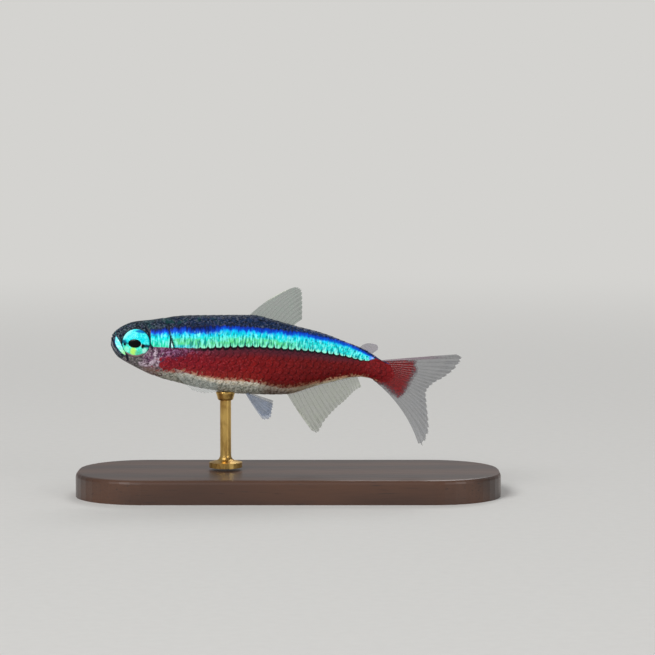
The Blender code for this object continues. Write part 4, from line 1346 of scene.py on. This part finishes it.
def skin_paint(name, scaled):
    """The fish's whole colouring, with a painted glow on the stripe and the crescent before the eye. Scales
    also have their own edges and differ a little from each other.
    """
    paint = SkinPaint(name)
    station, height, share = paint.station, paint.height, paint.share
    # dark holds dark lines and the painted shade in the mouth's cleft; pale holds painted highlights along
    # the head's ridges and the gill cover's edge.
    dark, pale, jaw = paint.attribute("lines")

    ragged = (paint.mottle - 0.5) * 0.044 + (paint.blotch - 0.5) * 0.030
    body = paint.dusk(paint.mix((paint.over_red + ragged).step(-0.008, 0.006), paint.belly(), paint.red()))
    grains = (paint.mottle - 0.5) * 0.10 + (paint.blotch - 0.5) * 0.12
    cheek = (station + grains + (height + 0.06) * 0.10).step(0.184, 0.162)
    snout = paint.snout()
    top = share + (paint.streak - 0.5) * 0.26
    back = paint.mix(station.step(0.10, 0.20), snout, paint.back())
    body = paint.over(body, (cheek, paint.cheek(pale)), (top.step(0.95, 1.05), back))

    tooth = abs((paint.column + 0.45).part() * 2 - 1)
    notch = tooth * tooth * tooth * (station.step(0.25, 0.40) * 0.10 + station.step(0.16, 0.24) * 0.03)
    edge = share + (paint.stroke - 0.5) * 0.07 - notch - 0.02
    inside = station.step(0.131, 0.135) * station.step(0.944, 0.938)
    lit = edge.step(-0.03, 0.02) * inside * top.step(1.07, 0.99)
    black = edge.band(-0.14, 0.01, 0.03) * inside * station.step(0.24, 0.34)
    gap = tooth.step(0.78, 0.98) * edge.band(-0.1, 0.09, 0.05) * inside * station.step(0.30, 0.42)
    slant = height - station * 0.9 + (paint.mottle - 0.5) * 0.03
    ahead = station.step(0.134, 0.129) * slant.step(-0.088, -0.070)
    tone = paint.over(
        body,
        (black * 0.95, (0, 4, 14)),
        (lit, paint.stripe(tooth)),
        (gap * 0.85, (0, 33, 24)),
        (ahead, snout),
        (jaw.step(0.3, 0.7) * 0.8, paint.mix(paint.mottle, (120, 112, 122), (176, 166, 170))),
    )

    leaf_along, leaf_across, leaf = paint.attribute("crescent")
    # The bright inside of the crescent is a painted glint, with painted flecks of white light in it.
    glint = leaf * leaf_across.step(-1.15, -0.85) * leaf_across.step(1.15, 0.85)
    line = dark.step(0.30, 0.62)
    tone = paint.over(
        tone,
        (leaf * leaf_across.band(-1.6, -1.0, 0.15), (10, 52, 116)),
        (glint, paint.mix(leaf_along.step(0.35, 0.9), (112, 240, 246), (168, 246, 168))),
        (glint * paint.fleck.step(0.45, 0.65) * 0.6, (214, 255, 250)),
        # Painted highlights by the gill cover's edge, where it crosses the stripe.
        ((pale * lit).step(0.2, 0.6), (206, 255, 250)),
        (line * 0.95, (2, 10, 34)),
    )
    # Spots at the stripe's end, and a painted highlight by the adipose fin.
    for spot_station, spot_height, size, shade in END_SPOTS_AND_HIGHLIGHT:
        away = ((station - spot_station) ** 2 + (height - spot_height) ** 2) ** 0.5
        tone = paint.over(tone, (away.step(size, size * 0.4) * 0.85, shade))
    # shine marks the stripe and the crescent's painted glint: they glow with painted light through the
    # emission, and look a little metallic.
    shine = ((lit - gap * lit) * edge.step(-0.02, 0.03)).largest(glint) * (1 - line)

    if scaled:
        across, along, chance = paint.attribute("scale")
        rim = (abs(across) ** 2 * 0.26 + along).step(0.88, 1.0)
        strength = height.step(-0.02, 0.06) * 0.12 + 0.12
        tone = paint.over(tone, (rim * (1 - shine) * strength, (8, 6, 14)), (chance * 0.12, (6, 6, 10)))

    paint.feed(
        Base_Color=tone,
        Metallic=shine * 0.25,
        Roughness=paint.fine * 0.14 + 0.38 - shine * 0.06,
        Emission_Color=paint.mix(shine, (0, 0, 0), tone),
        Normal=paint.bump(paint.fine * 0.4 + paint.mottle * 0.6, 0.22, 0.02 * MM),
    )
    return paint.material


# Spots of the iris, in shares of its radius: (rearward, upward, half length, half height, strength, colour)
EYE_SPOTS = [
    (0.34, 0.84, 0.40, 0.13, 0.9, (0, 96, 176)),
    (-0.10, -0.62, 0.22, 0.30, 0.9, (186, 240, 96)),
    (-0.60, -0.52, 0.18, 0.22, 0.6, (160, 255, 212)),
    (0.22, -0.72, 0.20, 0.16, 0.7, (84, 196, 150)),
    (0.70, -0.52, 0.16, 0.20, 0.7, (196, 255, 244)),
    (-0.88, 0.02, 0.26, 0.13, 0.9, (4, 54, 104)),
    (-0.64, -0.10, 0.20, 0.07, 0.8, (4, 70, 100)),
    (-0.76, -0.17, 0.10, 0.11, 1.0, (2, 8, 20)),
    (0.78, -0.17, 0.28, 0.11, 1.0, (4, 66, 90)),
    (0.55, -0.20, 0.12, 0.16, 1.0, (2, 6, 14)),
    (0.42, -0.14, 0.035, 0.13, 0.8, (196, 170, 178)),
]
SPOT_EDGE = 0.45


def eye_paint():
    """A blue-green iris, which glows a little with painted light and has a painted highlight at its upper
    front, round a wide black pupil, with a dark bar behind it and spots before it.
    """
    paint = Paint(
        "eye", Roughness=0.28, Specular_IOR_Level=0.12, Coat_Weight=0.03, Coat_Roughness=0.05,
        Emission_Strength=0.14,
    )
    rear, up, out = paint.attribute("iris")
    reach = (rear * rear + up * up) ** 0.5
    cells = paint.noise(rear * 5, up * 5, out * 2, 3.0, 0.6)
    grain = paint.noise(rear * 13, up * 13, out * 2, 2.0, 0.6)

    def ellipse(x, y, wide, high):
        """The square of the way from a middle, which is 1 on an ellipse."""
        return ((rear - x) / wide) ** 2 + ((up - y) / high) ** 2

    # A painted highlight on the upper front of the iris.
    iris_highlight = (up * 0.6 - rear * 0.8).step(0.62, 0.90) * up.step(0.05, 0.3)
    tone = paint.over(
        paint.mix(up.step(-0.45, 0.15), (74, 226, 178), (14, 222, 232)),
        (cells.step(0.46, 0.58) * 0.7, (96, 255, 250)),
        (grain.step(0.50, 0.38) * 0.55, (16, 156, 168)),
        (iris_highlight * 0.7, (168, 255, 250)),
    )
    for x, y, wide, high, strength, shade in EYE_SPOTS:
        away = ellipse(x, y, wide, high) ** 0.5 + (grain - 0.5) * 0.6
        tone = paint.over(tone, (away.step(1 + SPOT_EDGE, 1 - SPOT_EDGE) * strength, shade))
    tone = paint.over(
        tone,
        ((reach + (cells - 0.5) * 0.06).step(0.95, 1.0) * 0.8, (12, 40, 62)),
        ((reach - up * 0.1).step(0.93, 0.99) * up.step(-0.60, -0.78), (138, 116, 118)),
        ((ellipse(*PUPIL) + (cells - 0.5) * 0.12).step(1.08, 0.96), (2, 2, 4)),
        (out.step(0.06, -0.02), (18, 24, 34)),
    )
    # The iris's tone is also its emission: a painted glow.
    paint.feed(Base_Color=tone, Emission_Color=tone, Normal=paint.bump(cells, 0.04, 0.01 * MM))
    return paint.material


# Fins' membranes: colour, and how much it covers
FIN_TONES = {
    "back": ((80, 100, 88), 0.34),
    "belly": ((88, 98, 72), 0.28),
    "adipose": ((94, 82, 104), 0.32),
    "tail": ((72, 76, 82), 0.36),
    "pelvic": ((96, 112, 138), 0.30),
    "pectoral": ((150, 158, 156), 0.14),
}
# Colours of the painted highlight along the leading edges of the dorsal and anal fins
LEADING_HIGHLIGHT_TONES = {"back": (228, 232, 214), "belly": (206, 208, 200)}


def fin_paint(name, tone):
    """Clear membrane between fine jointed rays. The tail fin has the red of the body on its middle. Dorsal
    and anal fins have a painted highlight on their leading edges.
    """
    shade, cover = FIN_TONES[tone]
    paint = Paint(name, Roughness=0.34, Coat_Weight=0.2, Coat_Roughness=0.2, IOR=1.36)
    station, aside, height = paint.attribute("body")
    _, reach, ray = paint.attribute("fin")
    inside, pale, _ = paint.attribute("marks")
    cloud = paint.noise(station * 45, height * 45, aside * 45, 3.0)
    grain = paint.noise(station * 150, height * 150, aside * 150, 2.0)
    joints = (reach * 30).part().band(0.0, 0.14, 0.06)
    rays = ray.step(0.25, 0.9)
    tinted = paint.over(
        paint.mix(cloud.step(0.35, 0.68), shade, [part * 1.22 for part in shade]),
        (grain.step(0.52, 0.36) * 0.35, [part * 0.66 for part in shade]),
        (rays * 0.40, [part * 0.78 for part in shade]),
        (joints * ray * 0.25, (176, 178, 168)),
    )
    cover_more = cloud * 0.12
    if tone == "tail":
        inside = (inside + (grain - 0.5) * 0.024 + (cloud - 0.5) * 0.030).step(-0.014, 0.016)
        red = paint.mix(grain.step(0.34, 0.64), (92, 6, 12), (128, 18, 22))
        tinted = paint.over(tinted, (inside * (1 - rays * 0.18), red), (pale * 0.8, (150, 132, 142)))
        cover_red = inside * (station.step(1.09, 1.02) * 0.12 + 0.80)
        cover_more = (cover_red + cover_more).largest(pale * 0.4)
    # The painted highlight along the leading edge, which also makes the membrane less clear there.
    if tone in LEADING_HIGHLIGHT_TONES:
        leading = pale * (grain.step(0.30, 0.50) * 0.3 + 0.5)
        tinted = paint.over(tinted, (leading * 0.95, LEADING_HIGHLIGHT_TONES[tone]))
        cover_more = (leading * 0.8).largest(cover_more)
    if tone == "belly":
        base_line = reach.step(0.11, 0.05) * 0.8
        tinted = paint.over(tinted, (base_line, paint.mix(grain, (206, 150, 92), (236, 214, 178))))
        cover_more = (base_line * 0.6).largest(cover_more)
    alpha = rays * 0.11 + cover_more + (cover - 0.06)
    paint.feed(Base_Color=tinted, Alpha=alpha.smallest(0.97), Normal=paint.bump(ray, 0.25, 0.02 * MM))
    return paint.material


def wood_paint():
    """Dark stained wood with fine grain along the base."""
    paint = Paint("dark wood", Coat_Weight=0.35, Coat_Roughness=0.22)
    x, y, z = paint.split(paint.place())
    wander = paint.noise(x * 60, y * 200, z * 200, 2.0)
    rings = ((y * 900 + z * 500 + wander * 3.2).sine() + 1) * 0.5
    fibre = paint.noise(x * 260, y * 6000, z * 6000, 3.0, 0.6)
    pores = fibre.step(0.62, 0.72)
    tone = paint.mix(rings, (58, 34, 22), (88, 54, 34))
    paint.feed(
        Base_Color=paint.over(tone, (fibre * 0.5, (40, 22, 14)), (pores * 0.8, (20, 11, 8))),
        Roughness=fibre * 0.25 + 0.32,
        Normal=paint.bump(fibre * 0.5 - pores * 0.5, 0.3, 0.02 * MM),
    )
    return paint.material


def brass_paint():
    """Turned brass with fine rings from the lathe and a little tarnish."""
    paint = Paint("turned brass", Metallic=1.0)
    x, y, z = paint.split(paint.place())
    tarnish = paint.noise(x * 900, y * 900, z * 500, 3.0, 0.6)
    rings = paint.noise(x * 100, y * 100, z * 26000, 2.0)
    paint.feed(
        Base_Color=paint.mix(tarnish.step(0.4, 0.75), (214, 178, 104), (158, 116, 60)),
        Roughness=tarnish * 0.25 + rings * 0.12 + 0.16,
        Normal=paint.bump(rings, 0.15, 0.01 * MM),
    )
    return paint.material


# Stand

CUP_HEIGHT = 0.10 * MM
CUP_FOOT = -0.5 * MM
ROD_RADIUS = ROD_DIAMETER / 2


def rod_cup(paint):
    """A small turned cup on the top of the rod, in which the belly rests."""
    top = ROD_CLEARANCE + CUP_HEIGHT
    outline = [
        (0, CUP_FOOT), (1.25, CUP_FOOT), (1.45, -0.35 * MM), (1.5, -0.05 * MM), (1.75, top - 0.18 * MM),
        (1.75, top - 0.06 * MM), (1.6, top), (1.3, top - 0.02 * MM), (0, top - 0.12 * MM),
    ]
    shape = bmesh.new()
    points = [shape.verts.new((radius * ROD_RADIUS, 0, height)) for radius, height in outline]
    edges = [shape.edges.new(pair) for pair in zip(points, points[1:])]
    around = {"cent": (0, 0, 0), "axis": (0, 0, 1), "angle": 2 * math.pi, "steps": 48, "use_merge": True}
    bmesh.ops.spin(shape, geom=points + edges, **around)
    bmesh.ops.remove_doubles(shape, verts=shape.verts[:], dist=1e-7)
    belly = BELLY_ON_ROD + PLACE
    bmesh.ops.translate(shape, verts=shape.verts[:], vec=(belly[0], belly[1], belly[2] - ROD_CLEARANCE))
    piece = add_object("rod_cup", shape)
    subdivision = piece.modifiers.new("round", "SUBSURF")
    subdivision.levels = subdivision.render_levels = 1
    return finish_piece(piece, paint, "rod_brass")


def stand():
    brass = brass_paint()
    for node, paint in (("stand_base", wood_paint()), ("stand_rod", brass)):
        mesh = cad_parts[node].data
        mesh.materials.clear()
        mesh.materials.append(paint)
    rod_cup(brass)


# Studio

PALE = (212, 211, 208)
FLOOR_FLECKS = (218, 217, 214)
WORLD_LIGHT = 0.36
FLOOR_REACH = 3.0
FLOOR_FADE = (0.09, 0.42)
FLOOR_GRAIN = 900

# Name, place, size and power of each lamp
LAMPS = [
    ("key_light", (-0.45, -0.68, 0.66), 0.50, 7.4),
    ("fill_light", (0.75, -0.70, 0.35), 0.60, 2.0),
    ("rim_light", (0.20, 0.70, 0.75), 0.45, 2.2),
]


def floor():
    """A wide pale floor that fades into the pale surroundings."""
    shape = bmesh.new()
    bmesh.ops.create_circle(shape, cap_ends=True, segments=96, radius=FLOOR_REACH)
    piece = add_object("floor", shape)
    paint = Paint("pale floor", Roughness=0.8)
    x, y, z = paint.split(paint.place())
    away = (x * x + y * y) ** 0.5
    paper = paint.noise(x * FLOOR_GRAIN, y * FLOOR_GRAIN, z * FLOOR_GRAIN, 2.0)
    paint.feed(Base_Color=paint.mix(paper, PALE, FLOOR_FLECKS))
    haze = paint.node("ShaderNodeEmission", None, {"Color": color(*PALE), "Strength": 1.0})
    surface = Value(paint, paint.shader.outputs[0])
    faded = paint.node("ShaderNodeMixShader", None, {0: away.step(*FLOOR_FADE), 1: surface, 2: haze})
    paint.tree.links.new(faded.socket, paint.tree.nodes["Material Output"].inputs["Surface"])
    piece.data.materials.append(paint.material)


def surroundings():
    """A pale background, which lights the scene less than it shows."""
    world = bpy.data.worlds.new("studio")
    world.use_nodes = True
    tree = world.node_tree
    shown = tree.nodes["Background"]
    shown.inputs["Color"].default_value = color(*PALE)
    light = tree.nodes.new("ShaderNodeBackground")
    light.inputs["Strength"].default_value = WORLD_LIGHT
    choice = tree.nodes.new("ShaderNodeMixShader")
    path = tree.nodes.new("ShaderNodeLightPath")
    tree.links.new(path.outputs["Is Camera Ray"], choice.inputs[0])
    tree.links.new(light.outputs[0], choice.inputs[1])
    tree.links.new(shown.outputs[0], choice.inputs[2])
    tree.links.new(choice.outputs[0], tree.nodes["World Output"].inputs["Surface"])
    bpy.context.scene.world = world
    bpy.context.scene.view_settings.view_transform = "Standard"


def softbox(name, place, size, power):
    """A round lamp that faces the middle of the picture."""
    data = bpy.data.lights.new(name, "AREA")
    data.shape = "DISK"
    data.size = size
    data.energy = power
    light = bpy.data.objects.new(name, data)
    light.location = place
    light.rotation_euler = (CAMERA_AIM - Vector(place)).to_track_quat("-Z", "Y").to_euler()
    bpy.context.scene.collection.objects.link(light)


def camera():
    data = bpy.data.cameras.new("camera")
    data.sensor_width = SENSOR_WIDTH
    data.lens = FOCAL_PIXELS / IMAGE_PIXELS * SENSOR_WIDTH
    data.clip_start = 0.01
    piece = bpy.data.objects.new("camera", data)
    away = Vector((0, -math.cos(CAMERA_ELEVATION), math.sin(CAMERA_ELEVATION))) * CAMERA_DISTANCE
    piece.location = CAMERA_AIM + away
    piece.rotation_euler = (math.pi / 2 - CAMERA_ELEVATION, 0, 0)
    bpy.context.scene.collection.objects.link(piece)
    bpy.context.scene.camera = piece


def studio():
    surroundings()
    floor()
    for lamp in LAMPS:
        softbox(*lamp)
    camera()


studio()
body_skin()
coat_of_scales()
for eye_side in (-1, 1):
    eyeball(eye_side)
fins()
stand()
